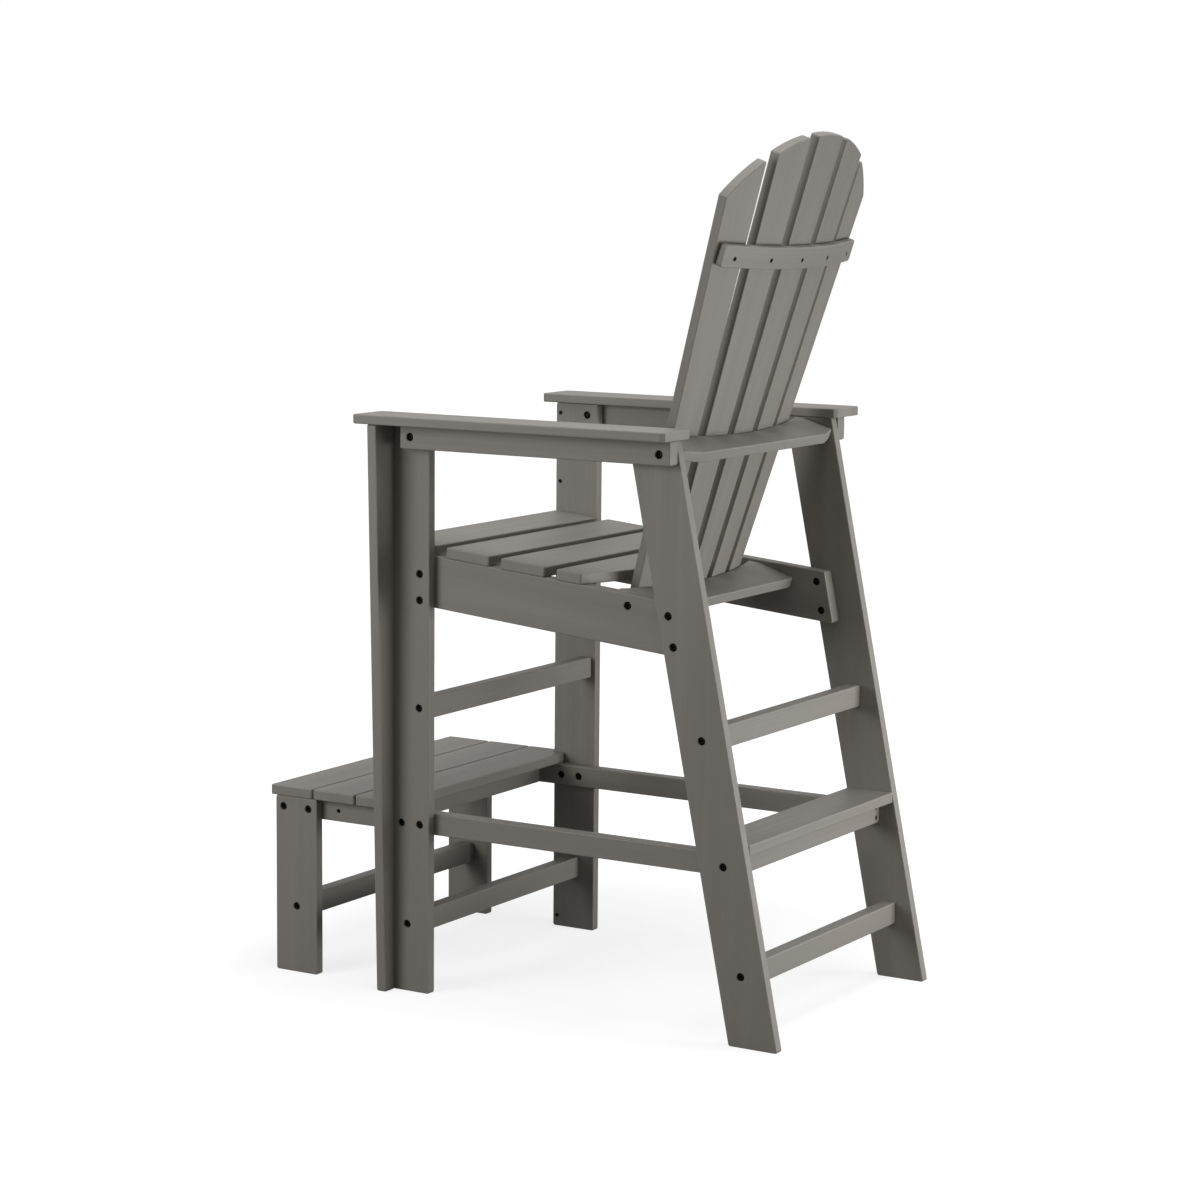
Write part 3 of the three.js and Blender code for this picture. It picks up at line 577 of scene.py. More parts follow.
class Board:
    """One board: its outline in the plane of its face, the frame it lies in, the axis that its
    grain follows, and if it is bent, the bend and the points that it needs inside the faces."""

    def __init__(self, name, outline, lie, along=0, corner=CORNER, depth=THICK, bend=None,
                 lattice=np.zeros((0, 2))):
        self.name, self.lie, self.along, self.bend = name, lie, along, bend
        self.outline = np.asarray(outline, float)
        self.corner, self.depth, self.lattice = corner, depth, lattice
        self.bores = []

    def drill(self, fixing):
        """Adds the fixing's hole where its passage runs through this board's thickness."""
        inverse = np.linalg.inv(self.lie)
        mouth = inverse @ np.append(fixing.mouth, 1)
        outward = inverse[:3, :3] @ fixing.outward
        if abs(abs(outward[2]) - 1) > SQUARE_TOLERANCE:
            return
        low, high = self.outline.min(0), self.outline.max(0)
        if np.any(mouth[:2] < low) or np.any(mouth[:2] > high):
            return
        up = outward[2] > 0
        near = mouth[2] - self.depth if up else -mouth[2]
        if near < -SEAM / 2 or near + self.depth > fixing.passage + SEAM:
            return
        steps = fixing.bore(near, near + self.depth)
        heights = [(r, self.depth - d if up else d, mask) for r, d, mask in steps]
        self.bores.append((mouth[:2], heights if up else heights[::-1]))

    def build(self, rng):
        """The eased rings, the filled faces and the holes' rings, bent if need be and placed."""
        loop = rounded(self.outline, self.corner)
        rings, on_edge = eased_rings(loop, self.depth)
        points, masks = [rings.reshape(-1, 3)], [on_edge.ravel()]
        faces = [strip_faces(0, len(rings), len(loop), True)]
        upper, lower = [], []
        first = len(rings) * len(loop)
        tops, bottoms = [np.arange(len(loop))], [first - len(loop) + np.arange(len(loop))]
        for centre, bore in self.bores:
            hole, hole_edge = hole_rings(centre, bore)
            points.append(hole.reshape(-1, 3))
            masks.append(hole_edge.ravel())
            faces.append(strip_faces(first, len(hole), HOLE_SIDES, False))
            upper.append((hole[0, :, :2], centre, bore[0][0]))
            lower.append((hole[-1, :, :2], centre, bore[-1][0]))
            last = first + len(hole) * HOLE_SIDES
            tops.append(first + np.arange(HOLE_SIDES))
            bottoms.append(last - HOLE_SIDES + np.arange(HOLE_SIDES))
            first = last
        inside = self.lattice
        for height, face_holes, index, turned in (
            (self.depth, upper, tops, False), (0.0, lower, bottoms, True)
        ):
            index = np.concatenate([*index, first + np.arange(len(inside))])
            rim = rings[-1 if turned else 0][:, :2]
            filled = index[fill_faces(rim, face_holes, inside)]
            faces.append(filled[:, ::-1] if turned else filled)
            points.append(np.c_[inside, np.full(len(inside), height)])
            masks.append(np.zeros(len(inside)))
            first += len(inside)
        points, masks = np.concatenate(points), np.concatenate(masks)
        place = points[:, [self.along, 1 - self.along, 2]] + rng.uniform(0, GRAIN_SPREAD, 3)
        shaped = points if self.bend is None else self.bend(points)
        shaped = shaped @ self.lie[:3, :3].T + self.lie[:3, 3]
        attributes = [("board_place", "FLOAT_VECTOR", place), ("eased_edge", "FLOAT", masks)]
        piece = mesh_piece("lumber_" + self.name, shaped, faces, LUMBER, attributes)
        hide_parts(self.name)


def rectangle(u0, u1, v0, v1):
    """The corners of a rectangle, turning from the first direction to the second."""
    return np.array([[u0, v0], [u1, v0], [u1, v1], [u0, v1]])


def cut_corners(u0, u1, v0, v1, cut):
    """A rectangle with each corner cut off at 45 degrees."""
    return np.array([
        [u0, v0 + cut], [u0 + cut, v0], [u1 - cut, v0], [u1, v0 + cut],
        [u1, v1 - cut], [u1 - cut, v1], [u0 + cut, v1], [u0, v1 - cut],
    ])


def side_board(name, outline, near_face, sign, parent=CHAIR, depth=THICK, **options):
    """A board on edge along the chair, whose face nearest the middle plane is given."""
    start = near_face if sign > 0 else -near_face - depth
    return Board(name, outline, parent @ lying(Y, Z, (start, 0, 0)), depth=depth, **options)


def side_boards():
    """Legs, brackets, arms and rails, one of each on both sides of the chair."""
    boards = []
    inner, width = LEG_OUTER + SEAM, REAR_LEG_WIDTH
    for side, sign in SIDES:
        def add(name, outline, near_face, **options):
            boards.append(side_board(f"{name}_{side}", outline, near_face, sign, **options))

        add("front_leg", rectangle(0, WIDE, 0, LEG_TOP), LEG_INNER, along=1)
        foot, head = LEG_OUTER + BRACKET_FOOT, LEG_OUTER + BRACKET_HEAD
        bracket = np.array([[inner, 0], [foot, 0], [head, LEG_TOP], [inner, LEG_TOP]])
        bracket = bracket if sign > 0 else (bracket * [-1, 1])[::-1]
        upright = CHAIR @ lying(X, Z, (0, THICK, 0))
        boards.append(Board(f"arm_bracket_{side}", bracket, upright, along=1))
        foot, head = rear_leg_front(0), rear_leg_front(LEG_TOP)
        leg = [[foot, 0], [foot + width, 0], [head + width, LEG_TOP], [head, LEG_TOP]]
        add("rear_leg", leg, LEG_INNER, along=1)
        near = min(sign * ARM_INNER, sign * ARM_OUTER)
        arm = cut_corners(near, near + WIDE, -ARM_NOSE, ARM_LENGTH - ARM_NOSE, ARM_CUT)
        flat = CHAIR @ lying(X, Y, (0, 0, ARM_TOP - ARM_THICK))
        boards.append(Board(f"arm_{side}", arm, flat, along=1, corner=ARM_CORNER, depth=ARM_THICK))
        rear = ARM_RAIL_FRONT + ARM_RAIL_LENGTH
        rail = rectangle(ARM_RAIL_FRONT, rear, LEG_TOP - ARM_RAIL_HEIGHT, LEG_TOP)
        add("arm_rail", rail, inner, depth=RAIL_THICK)
        rear = CROSS["tread_support"][0] - SEAM
        rail = rectangle(LOW_RAIL_FRONT, rear, LOW_RAIL_FOOT, LOW_RAIL_TOP)
        add("low_side_rail", rail, RAIL_INNER, depth=RAIL_THICK)
        leg = rectangle(LOW_RAIL_FRONT, LOW_RAIL_FRONT + WIDE, 0, LOW_RAIL_TOP)
        add("platform_leg", leg, LEG_INNER, along=1)
    return boards


def cross_boards():
    """Stretchers, rungs, aprons and the tread's support: narrow boards on edge across the chair."""
    rows = [(name, LEG_INNER - SEAM, y, foot) for name, (y, foot) in CROSS.items()]
    rows += [(name, RAIL_INNER - SEAM, y, LOW_RAIL_FOOT) for name, y in APRONS.items()]
    boards = []
    for name, half, y, foot in rows:
        lie = CHAIR @ lying(X, Z, (0, y + RAIL_THICK, 0))
        outline = rectangle(-half, half, foot, foot + NARROW)
        boards.append(Board(name, outline, lie, depth=RAIL_THICK))
    return boards


def flat_boards():
    """Platform slats, the last one notched round the front legs, and the ladder's tread."""
    half, neck = LEG_OUTER + PLATFORM_SLAT_OVERHANG, LEG_INNER - PLATFORM_NOTCH
    flat = CHAIR @ lying(X, Y, (0, 0, PLATFORM_UNDERSIDE))
    boards = []
    for i in range(PLATFORM_SLAT_COUNT):
        front = i * (WIDE + PLATFORM_SLAT_GAP) - PLATFORM_FRONT
        rear = front + WIDE
        outline = rectangle(-half, half, front, rear)
        if rear > -PLATFORM_NOTCH:
            outline = [
                [-half, front], [half, front], [half, -PLATFORM_NOTCH], [neck, -PLATFORM_NOTCH],
                [neck, rear], [-neck, rear], [-neck, -PLATFORM_NOTCH], [-half, -PLATFORM_NOTCH],
            ]
        boards.append(Board(f"platform_slat_{i + 1}", outline, flat))
    front = rear_leg_front(PLATFORM_UNDERSIDE + THICK / 2) + TREAD_SETBACK
    half = LEG_INNER - SEAM
    boards.append(Board("ladder_tread", rectangle(-half, half, front, front + WIDE), flat))
    return boards


def seat_run(base, slope, rise):
    """Run along the tilted seat, at a rise, of the line y = base - slope * z."""
    across = base - slope * SEAT_RAIL_HEIGHT
    across -= rise * (math.sin(SEAT_FALL) + slope * math.cos(SEAT_FALL))
    return across / (math.cos(SEAT_FALL) - slope * math.sin(SEAT_FALL))


def seat_boards():
    """Seat rails cut upright in front and along the rear legs behind, the apron between their
    front ends and the slats on them."""
    rear = REAR_LEG_FOOT + SEAT_RAIL_OVERLAP
    rail = [
        [seat_run(SEAT_RAIL_INSET, 0, -WIDE), -WIDE], [seat_run(rear, RAKE, -WIDE), -WIDE],
        [seat_run(rear, RAKE, 0), 0], [seat_run(SEAT_RAIL_INSET, 0, 0), 0],
    ]
    boards = [
        side_board(f"seat_rail_{side}", rail, RAIL_INNER, sign, parent=SEAT, depth=RAIL_THICK)
        for side, sign in SIDES
    ]
    half, rear_face = RAIL_INNER - SEAM, SEAT_RAIL_INSET + THICK
    top = rail_height(rear_face)
    lie = CHAIR @ lying(X, Z, (0, rear_face, 0))
    boards.append(Board("seat_apron", rectangle(-half, half, top - WIDE, top), lie))
    flat = SEAT @ lying(X, Y, (0, 0, SEAM))
    for i in range(SEAT_SLAT_COUNT):
        front = i * (WIDE + SEAT_SLAT_GAP)
        half = LEG_INNER + (-SEAT_SLAT_OVERHANG if front < WIDE else SEAT_SLAT_OVERHANG)
        outline = rectangle(-half, half, front, front + WIDE)
        if i == SEAT_SLAT_COUNT - 1:
            x = np.linspace(half, -half, ARC_STEPS + 1)
            edge = LOWER_BOLT_RUN - SEAT_BACK_CLEARANCE - FAN_RADIUS + np.sqrt(FAN_RADIUS**2 - x**2)
            arc = np.stack([x, np.minimum(edge, front + WIDE)], 1)
            outline = np.concatenate([[[-half, front], [half, front]], arc])
        boards.append(Board(f"seat_slat_{i + 1}", outline, flat))
    return boards


def slat_frame(index):
    """Where a back slat's rear face crosses the upper support, and its directions upward and
    sideways: it runs between anchors on the fan's arc at both supports, and its rear face looks
    away from the arc's centre."""
    def anchor(pitch, rise):
        angle = index * pitch / FAN_RADIUS
        behind = FAN_RADIUS * (math.cos(angle) - 1) - SUPPORT_SETBACK
        return np.array([FAN_RADIUS * math.sin(angle), behind, rise])

    upper, lower = anchor(SLAT_UPPER_PITCH, 0), anchor(SLAT_LOWER_PITCH, -SPACING)
    up = (upper - lower) / np.linalg.norm(upper - lower)
    middle = index * (SLAT_UPPER_PITCH + SLAT_LOWER_PITCH) / 2 / FAN_RADIUS
    rearward = np.array([math.sin(middle), math.cos(middle), 0])
    rearward -= up * (rearward @ up)
    rearward /= np.linalg.norm(rearward)
    return upper, up, np.cross(rearward, up)


SLATS = [(SLAT_COUNT - 1) / 2 - i for i in range(SLAT_COUNT)]


def slat_half_width(run):
    """Half a slat's width, which grows evenly from the lower support upwards."""
    return (SLAT_UPPER_WIDTH + (SLAT_UPPER_WIDTH - SLAT_LOWER_WIDTH) * run / SPACING) / 2


def run_to_arch(upper, up, across, share):
    """Run along a slat at which points at these shares of its half width meet the arch: the
    arch's height at their place is divided by the slat's upward slope, until it settles."""
    run = np.full(len(share), ARCH_RISE)
    for _ in range(ARCH_ROUNDS):
        offset = share * slat_half_width(run)
        x = upper[0] + up[0] * run + across[0] * offset
        height = ARCH_RISE - ARCH_RADIUS + np.sqrt(np.maximum(ARCH_RADIUS**2 - x**2, 0))
        run = (height - across[2] * offset) / up[2]
    return run


def back_slats():
    """Five tapered boards in a shallow fan, their heads cut to one arch."""
    boards = []
    for i, index in enumerate(SLATS):
        upper, up, across = slat_frame(index)
        foot = -SPACING - THICK / 2 - SLAT_TAIL
        share = np.linspace(1, -1, HEAD_POINTS)
        run = run_to_arch(upper, up, across, share)
        head = np.stack([share * slat_half_width(run), run], 1)
        half = slat_half_width(foot)
        outline = np.concatenate([[[-half, foot], [half, foot]], head])
        lie = BACK @ lying(across, up, upper)
        boards.append(Board(f"back_slat_{i + 1}", outline, lie, along=1))
    return boards


def rear_corners(run):
    """Both edges of every slat's rear face at one height, as places across and behind."""
    corners = []
    for index in SLATS:
        upper, up, across = slat_frame(index)
        half = slat_half_width(run)
        corners += [(upper + up * run + across * edge * half)[:2] for edge in (-1, 1)]
    return np.array(corners)


def clearing_radius(centre, runs):
    """Radius about a centre in front of the back of the arc that clears all those corners."""
    reach = [np.hypot(c[:, 0], c[:, 1] - centre).max() for c in map(rear_corners, runs)]
    return max(reach) + SEAM


def support(name, half, rear, run, taper, corner):
    """A cross board whose front edge is hollowed to the fan and whose ends narrow. The arc's last
    point is left out where it lies too near the corner for both to be rounded."""
    centre = -SUPPORT_SETBACK - FAN_RADIUS
    radius = clearing_radius(centre, [run - THICK / 2, run + THICK / 2])
    front = rear - WIDE
    corner_run, corner_tip, corner_depth = corner
    hollow = min(math.sqrt(max(radius**2 - (front - centre) ** 2, 0)), half - corner_run - SEAM)
    x = np.linspace(0, hollow, ARC_STEPS // 2 + 1)
    arc = np.stack([x, np.maximum(centre + np.sqrt(radius**2 - x**2), front)], 1)
    ends = [[half - corner_run, front]] if arc[-1, 1] < front + SEAM else []
    if ends and half - corner_run - hollow < 2 * CORNER:
        arc = arc[:-1]
    ends += [
        [half - corner_tip, front + corner_depth], [half, front + corner_depth + corner_tip],
        [half, rear - taper[1]], [half - taper[0], rear],
    ]
    right = np.concatenate([arc, ends])
    outline = np.concatenate([right, (right[1:] * [-1, 1])[::-1]])
    return Board(name, outline, BACK @ lying(X, Y, (0, 0, run - THICK / 2)))


def back_supports():
    """The upper support's corners are cut back to stay below the arms, the lower one's a little."""
    upper_half = LEG_INNER - SEAM
    above = UPPER_BOLT[1] + THICK / 2 * math.cos(BACK_LEAN) - LEG_TOP + SEAM
    clear_front = above / math.sin(BACK_LEAN)
    tip = upper_half - ARM_INNER + SEAM
    depth = max(clear_front + SEAM - UPPER_SUPPORT_REAR + WIDE, SUPPORT_CORNER[1])
    corner = (tip + SUPPORT_CORNER[0], tip, depth)
    upper = support("upper_back_support", upper_half, UPPER_SUPPORT_REAR, 0, SUPPORT_TAPER, corner)
    half = RAIL_INNER - SEAM
    corner = (SUPPORT_CORNER[0], LOWER_SUPPORT_TIP, SUPPORT_CORNER[1])
    taper = (SUPPORT_CORNER[0], LOWER_SUPPORT_TIP)
    lower = support("lower_back_support", half, LOWER_SUPPORT_REAR, -SPACING, taper, corner)
    return [upper, lower]


def batten_arc():
    """Centre, inner radius and half length of the batten behind the slats."""
    corners = rear_corners(BATTEN_RISE)
    outer, inner = corners[corners[:, 0].argmax()], corners[corners[:, 1].argmax()]
    drop = inner[1] - outer[1]
    centre = inner[1] - (outer[0] ** 2 - inner[0] ** 2 + drop**2) / (2 * drop)
    radius = clearing_radius(centre, BATTEN_EDGES)
    return centre, radius, outer[0] - BATTEN_INSET


def back_batten():
    """A straight thin board bent round the fan: along it becomes an angle, its thickness a radius.
    Its length runs towards -X, so that its outer face is its upper face."""
    centre, radius, half = batten_arc()
    reach = radius * math.asin(half / radius)

    def bend(points):
        angle = -points[:, 0] / radius
        out = radius + points[:, 2]
        return np.stack([out * np.sin(angle), centre + out * np.cos(angle), points[:, 1]], 1)

    low, high = BATTEN_EDGES
    u = np.linspace(-reach, reach, ARC_STEPS + 1)
    outline = np.concatenate([
        np.stack([u, np.full(len(u), low)], 1), np.stack([u[::-1], np.full(len(u), high)], 1),
    ])
    v = np.linspace(low, high, BATTEN_ROWS + 1)[1:-1]
    lattice = np.stack(np.meshgrid(u[1:-1], v), -1).reshape(-1, 2)
    return Board("back_batten", outline, BACK, corner=BATTEN_CORNER, depth=BATTEN_THICKNESS,
                 bend=bend, lattice=lattice)


# --- fixings


class Fixing:
    """A bolt or screw: the middle of its mouth on a board's face, the way that face looks, how
    deep its clearance runs and its kind."""

    def __init__(self, name, mouth, outward, passage, kind):
        self.name, self.mouth, self.outward = name, mouth, outward
        self.passage, self.kind = passage, kind

    def bore(self, start, end):
        """Radius, depth and edge mask of the hole between two faces: a recess for the head, a
        clearance hole, and for a clamp bolt a recess for its nut, with a rounded rim and a flat
        band round it at both faces."""
        if self.kind == "screw":
            recess, hole, rim = SCREW_HEAD_RADIUS + SEAM, SCREW_RADIUS + SEAM, SCREW_RIM
            floor = SCREW_SINK + SCREW_HEAD_HEIGHT
        else:
            recess, hole, rim = RECESS_RADIUS, BOLT_RADIUS + SEAM, RIM
            floor = BOLT_SINK + BOLT_HEAD_HEIGHT + SEAM
        sections = [(recess, 0.0, floor), (hole, floor, math.inf)]
        if self.kind == "clamp":
            nut = self.passage - floor
            sections[1:] = [(hole, floor, nut), (recess, nut, self.passage)]
        rings = []
        for radius, low, high in sections:
            low, high = max(low, start), min(high, end)
            if high - low > LEAST_SECTION:
                rings += [(radius, low - start, DOWN_HOLE), (radius, high - start, DOWN_HOLE)]
        first, last, thickness = rings[0][0], rings[-1][0], end - start
        angle = np.linspace(0, math.pi / 2, RIM_STEPS + 1)
        curve = [(rim * (1 - math.sin(a)), rim * (1 - math.cos(a))) for a in angle]
        entry = [(first + out, down, 0.0) for out, down in curve]
        way_out = [(last + out, thickness - down, 0.0) for out, down in curve[::-1]]
        entry.insert(0, (first + 2 * rim, 0.0, 0.0))
        way_out.append((last + 2 * rim, thickness, 0.0))
        return entry + rings[1:-1] + way_out


def turned_surface(name, profile, fixing):
    """A solid of revolution about the fixing's axis: each entry is a radius, a depth below the
    mouth and a number of corners, 0 for a circle, so that one ring can be a hexagon."""
    sides = TURNED_SIDES
    angle = np.arange(sides) * 2 * math.pi / sides
    rings = []
    for radius, depth, corners in profile:
        reach = np.full(sides, radius)
        if corners:
            half = math.pi / corners
            reach = radius / np.cos(angle % (2 * half) - half)
        ring = [reach * np.cos(angle), reach * np.sin(angle), np.full(sides, -depth)]
        rings.append(np.stack(ring, 1))
    points = np.concatenate([*rings, [[0, 0, -profile[0][1]], [0, 0, -profile[-1][1]]]])
    quads = strip_faces(0, len(profile), sides, True)
    i = np.arange(sides)
    j = (i + 1) % sides
    last = (len(profile) - 1) * sides
    top = np.stack([np.full(sides, len(points) - 2), i, j], 1)
    tip = np.stack([np.full(sides, len(points) - 1), last + j, last + i], 1)
    axis = Vector(fixing.outward).to_track_quat("Z", "Y").to_matrix()
    points = points @ np.array(axis).T + fixing.mouth
    piece = mesh_piece(name, points, [quads, top, tip], STEEL)
    return piece


def sunk(crown, sink):
    """The profile of a head whose top lies this far below the mouth."""
    return [(radius, sink + depth, corners) for radius, depth, corners in crown]


def bolt_profile(tip):
    """From the floor of its hexagon socket over the domed head and down the shank to its tip."""
    under = BOLT_SINK + BOLT_HEAD_HEIGHT
    return sunk(BOLT_CROWN, BOLT_SINK) + [
        (BOLT_HEAD_RADIUS, under - BOLT_HEAD_EASING, 0),
        (BOLT_HEAD_RADIUS - BOLT_HEAD_EASING, under, 0),
        (BOLT_RADIUS + BOLT_NECK, under, 0), (BOLT_RADIUS, under + BOLT_NECK, 0),
        (BOLT_RADIUS, tip - BOLT_POINT, 0), (BOLT_RADIUS - BOLT_POINT, tip, 0),
    ]


def clamp_profile():
    """The same bolt with its hexagon nut near the tip."""
    bolt = bolt_profile(CLAMP_DEPTH - BOLT_TIP_SINK)
    low = CLAMP_DEPTH - BOLT_SINK
    high = low - NUT_HEIGHT
    apothem = NUT_WIDTH / 2
    nut = [
        (BOLT_RADIUS, high, 0), (BOLT_RADIUS + NUT_LAND, high, 0), (apothem, high + NUT_EASING, 6),
        (apothem, low - NUT_EASING, 6), (BOLT_RADIUS + NUT_LAND, low, 0), (BOLT_RADIUS, low, 0),
    ]
    return bolt[:-2] + nut + bolt[-2:]


def screw_profile(tip):
    """A small countersunk head with a square drive, a neck and a pointed shank."""
    return sunk(SCREW_CROWN, SCREW_SINK) + [
        (SCREW_RADIUS, SCREW_SINK + SCREW_HEAD_HEIGHT + SCREW_NECK, 0),
        (SCREW_RADIUS, tip - SCREW_POINT, 0), (SCREW_POINT_RADIUS, tip, 0),
    ]


def clamp_rows():
    """Clamp bolts: node name, outer face and places along and up the chair."""
    front = SEAT_FRONT_BOLT_LINE
    seat = [(front, rail_height(front) - drop) for drop in SEAT_FRONT_BOLT_DROPS]
    for drop in SEAT_REAR_BOLT_DROPS:
        z = rail_height(rear_leg_front(SEAT_RAIL_HEIGHT) + SEAT_RAIL_OVERLAP / 2) - drop
        seat.append((rear_leg_front(z) + SEAT_RAIL_OVERLAP / 2, z))
    low_rail = [(y, LOW_RAIL_MIDDLE) for y in LOW_RAIL_FRONT_BOLTS]
    platform = [(LOW_RAIL_FRONT + PLATFORM_REAR_BOLT_SETBACK, LOW_RAIL_MIDDLE)]
    arm_rail = [(ARM_RAIL_FRONT + ARM_BOLT_SETBACK, LEG_TOP - ARM_RAIL_HEIGHT / 2)]
    return [
        ("seat_bolt", LEG_OUTER, seat), ("low_rail_bolt", LEG_OUTER, low_rail),
        ("platform_bolt", LEG_OUTER, platform), ("arm_rail_bolt", ARM_RAIL_FACE, arm_rail),
    ]


def end_rows():
    """Bolts into the ends of cross boards: name, outer face, passage and place."""
    rows = [
        (name, LEG_OUTER, THICK, (y + RAIL_THICK / 2, foot + NARROW / 2))
        for name, (y, foot) in CROSS.items()
    ]
    apron = (APRONS["front_platform_apron"] + RAIL_THICK / 2, LOW_RAIL_MIDDLE)
    return rows + [
        ("lower_back_support", RAIL_OUTER, RAIL_THICK, LOWER_BOLT),
        ("front_platform_apron", LEG_OUTER, CLAMP_DEPTH, apron),
        ("upper_back_support", ARM_RAIL_FACE, CLAMP_DEPTH, UPPER_BOLT),
    ]


def side_fixings():
    """Every bolt through the side frames, on both sides."""
    fixings = []
    for side, sign in SIDES:
        for name, face, places in clamp_rows():
            for i, (y, z) in enumerate(places):
                mouth, title = placed(CHAIR, (sign * face, y, z)), f"{name}_{side}_{i + 1}"
                fixings.append(Fixing(title, mouth, sign * X, CLAMP_DEPTH, "clamp"))
        for name, face, passage, (y, z) in end_rows():
            mouth = placed(CHAIR, (sign * face, y, z))
            fixings.append(Fixing(f"end_bolt_{name}_{side}", mouth, sign * X, passage, "end"))
    return fixings


def side_screws():
    """Screws of the brackets, the tread's support, the two rear aprons and the seat's apron."""
    rows = []
    heights = [BRACKET_SCREW_FOOT, *[LEG_TOP - drop for drop in BRACKET_SCREW_DROPS]]
    tread_face = CROSS["tread_support"][0] + RAIL_THICK
    middle = (RAIL_OUTER + RAIL_INNER) / 2
    apron = SEAT_RAIL_INSET + THICK / 2
    for side, sign in SIDES:
        for i, z in enumerate(heights):
            place = (sign * LEG_INNER, THICK / 2, z)
            rows.append((f"bracket_screw_{side}_{i + 1}", place, -sign * X, THICK))
        for i, step in enumerate((-0.5, 0.5)):
            place = (sign * middle, tread_face, LOW_RAIL_MIDDLE + step * TREAD_SCREW_SPREAD)
            rows.append((f"tread_screw_{side}_{i + 1}", place, Y, RAIL_THICK))
        for name in ("middle_platform_apron", "rear_platform_apron"):
            place = (sign * RAIL_OUTER, APRONS[name] + RAIL_THICK / 2, LOW_RAIL_MIDDLE)
            rows.append((f"{name}_screw_{side}", place, sign * X, RAIL_THICK))
        for i, drop in enumerate(SEAT_APRON_SCREW_DROPS):
            place = (sign * RAIL_OUTER, apron, rail_height(apron) - drop)
            rows.append((f"seat_apron_screw_{side}_{i + 1}", place, sign * X, RAIL_THICK))
    return [Fixing(name, placed(CHAIR, place), *rest, "screw") for name, place, *rest in rows]


def batten_screws(batten):
    """A screw through the batten into the middle of each slat, drilled in the unbent board."""
    centre, radius, _ = batten_arc()
    screws = []
    for i, index in enumerate(SLATS):
        upper, up, _ = slat_frame(index)
        angle = math.asin((upper[0] + up[0] * BATTEN_RISE) / radius)
        outward = np.array([math.sin(angle), math.cos(angle), 0])
        rise = BATTEN_RISE - BATTEN_SCREW_DROP
        mouth = np.array([0, centre, rise]) + outward * (radius + BATTEN_THICKNESS)
        name, turned = f"batten_screw_{i + 1}", BACK[:3, :3] @ outward
        screw = Fixing(name, placed(BACK, mouth), turned, BATTEN_THICKNESS, "screw")
        bore = screw.bore(0, BATTEN_THICKNESS)
        heights = [(r, BATTEN_THICKNESS - d, mask) for r, d, mask in bore]
        batten.bores.append((np.array([-angle * radius, rise]), heights))
        screws.append(screw)
    return screws


def build_chair():
    """All boards, drilled by all fixings, and the fixings themselves."""
    rng = np.random.default_rng(GRAIN_SEED)
    batten = back_batten()
    boards = side_boards() + cross_boards() + flat_boards()
    boards += seat_boards() + back_slats() + back_supports()
    bolts, screws = side_fixings(), side_screws()
    for board in boards:
        for fixing in bolts + screws:
            board.drill(fixing)
    screws += batten_screws(batten)
    for board in [*boards, batten]:
        board.build(rng)
    for bolt in bolts:
        if bolt.kind == "clamp":
            piece = turned_surface("steel_" + bolt.name, clamp_profile(), bolt)
            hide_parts(bolt.name)
        else:
            turned_surface(bolt.name, bolt_profile(bolt.passage + BOLT_BITE), bolt)
    for screw in screws:
        turned_surface(screw.name, screw_profile(screw.passage + SCREW_BITE), screw)


# --- studio

# The photograph's camera: its yaw, pitch and roll in radians, its place in the chair's own frame,
# and its focal length in pixels of a picture of this width.
CAMERA_TURN = (1.02528, 0.13882, 0.009)
CAMERA_PLACE = (4.7365, 3.1329, 1.4450)
FOCAL_PIXELS = 3196.3
PICTURE_WIDTH = 1200
SENSOR_WIDTH = 36.0
CLIP_END = 60.0

# Lamps: name, place, the point that they look at, width and height, and power.
LAMPS = (
    ("overhead", (0.2, 0.6, 3.4), (0, 0.1, 0.9), (1.6, 1.6), 49),
    ("behind", (-0.6, 2.1, 0.5), (0, 0, 0.7), (1.5, 0.8), 38),
    ("beside", (2.9, -1.5, 1.5), (0, 0, 0.7), (1.6, 1.6), 52),
)

# The floor's half width, its tone, and how strongly it glows for the camera between two distances
# from the chair. The surround is white to the camera and in reflections, and lights the chair at
# the ambient strength.
FLOOR_REACH = 14.0
FLOOR_TONE = 0.30
FLOOR_ROUGHNESS = 0.9
FLOOR_FADE = (0.6, 1.3)
FLOOR_LIFT = (0.79, 1.0)
AMBIENT = 0.18
WHITE = (1, 1, 1, 1)


def place_camera():
    """The photograph's viewpoint: beside and behind the chair, at the height of its back."""
    yaw, pitch, roll = CAMERA_TURN
    flat = math.cos(pitch)
    forward = Vector((-math.sin(yaw) * flat, -math.cos(yaw) * flat, -math.sin(pitch)))
    level = Vector((-math.cos(yaw), math.sin(yaw), 0))
    up = level.cross(forward)
    right = level * math.cos(roll) + up * math.sin(roll)
    up = -level * math.sin(roll) + up * math.cos(roll)
    data = bpy.data.cameras.new("camera")
    data.sensor_fit = "HORIZONTAL"
    data.sensor_width = SENSOR_WIDTH
    data.lens = SENSOR_WIDTH * FOCAL_PIXELS / PICTURE_WIDTH
    data.clip_end = CLIP_END
    camera = put("camera", data)
    turn = Matrix((right, up, -forward)).transposed().to_4x4()
    x, y, z = CAMERA_PLACE
    camera.matrix_world = Matrix.Translation((x, y + CHAIR[1, 3], z)) @ turn
    bpy.context.scene.camera = camera


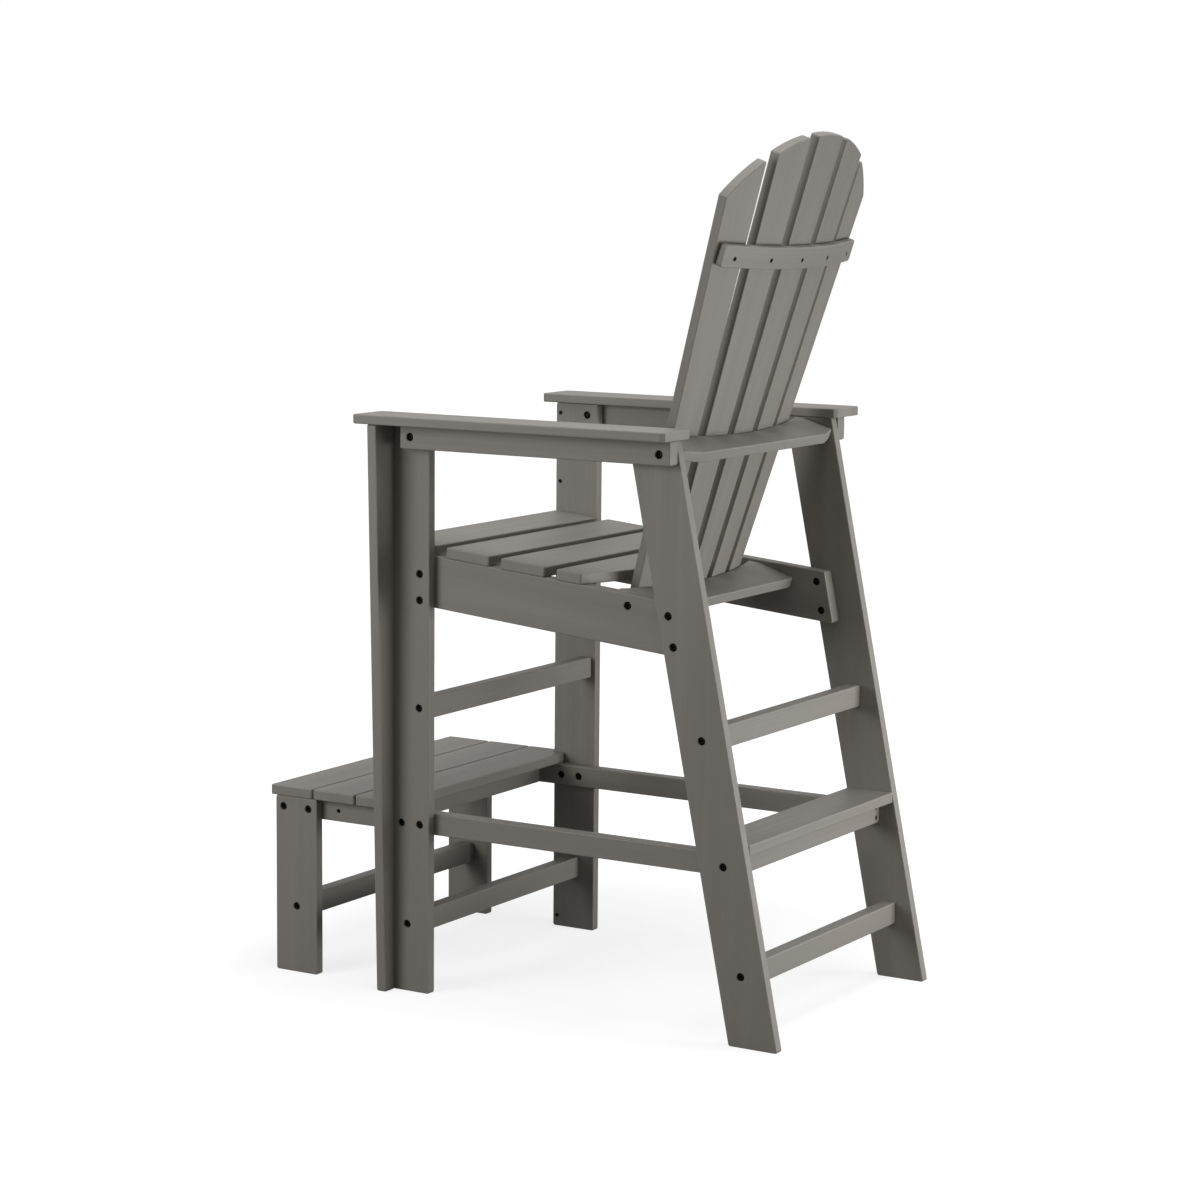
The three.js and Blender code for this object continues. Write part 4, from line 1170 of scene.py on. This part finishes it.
def area_light(name, place, aim, size, power):
    """A soft rectangular lamp that looks at a point."""
    data = bpy.data.lights.new(name, "AREA")
    data.shape = "RECTANGLE"
    data.size, data.size_y = size
    data.energy = power
    lamp = put(name, data)
    lamp.location = place
    lamp.rotation_euler = (Vector(aim) - Vector(place)).to_track_quat("-Z", "Y").to_euler()


def studio():
    """A white floor that keeps the chair's soft shadow, soft lamps and a white surround."""
    bpy.context.scene.view_settings.view_transform = "Standard"
    mesh = bpy.data.meshes.new("studio_floor")
    corners = rectangle(-FLOOR_REACH, FLOOR_REACH, -FLOOR_REACH, FLOOR_REACH)
    mesh.from_pydata([(x, y, 0) for x, y in corners], [], [(0, 1, 2, 3)])
    floor = put("studio_floor", mesh)
    material, tree, shader = principled("white_floor")
    shader.inputs["Base Color"].default_value = (FLOOR_TONE, FLOOR_TONE, FLOOR_TONE, 1)
    shader.inputs["Roughness"].default_value = FLOOR_ROUGHNESS
    shader.inputs["Specular IOR Level"].default_value = 0.0
    shader.inputs["Emission Color"].default_value = WHITE
    seen = node(tree, "LightPath").outputs["Is Camera Ray"]
    place = node(tree, "TexCoord").outputs["Object"]
    away = node(tree, "VectorMath", {0: place}, operation="LENGTH").outputs["Value"]
    lift = ramp(tree, away, *FLOOR_FADE, *FLOOR_LIFT)
    tree.links.new(math_node(tree, "MULTIPLY", seen, lift), shader.inputs["Emission Strength"])
    mesh.materials.append(material)

    world = bpy.data.worlds.new("white_surround")
    bpy.context.scene.world = world
    world.use_nodes = True
    tree = world.node_tree
    path = node(tree, "LightPath")
    seen = math_node(tree, "MAXIMUM", path.outputs["Is Camera Ray"], path.outputs["Is Glossy Ray"])
    seen = math_node(tree, "MAXIMUM", seen, path.outputs["Is Transmission Ray"])
    background = tree.nodes["Background"]
    background.inputs["Color"].default_value = WHITE
    strength = ramp(tree, seen, 0.0, 1.0, AMBIENT, 1.0)
    tree.links.new(strength, background.inputs["Strength"])

    for lamp in LAMPS:
        area_light(*lamp)


build_chair()
place_camera()
studio()
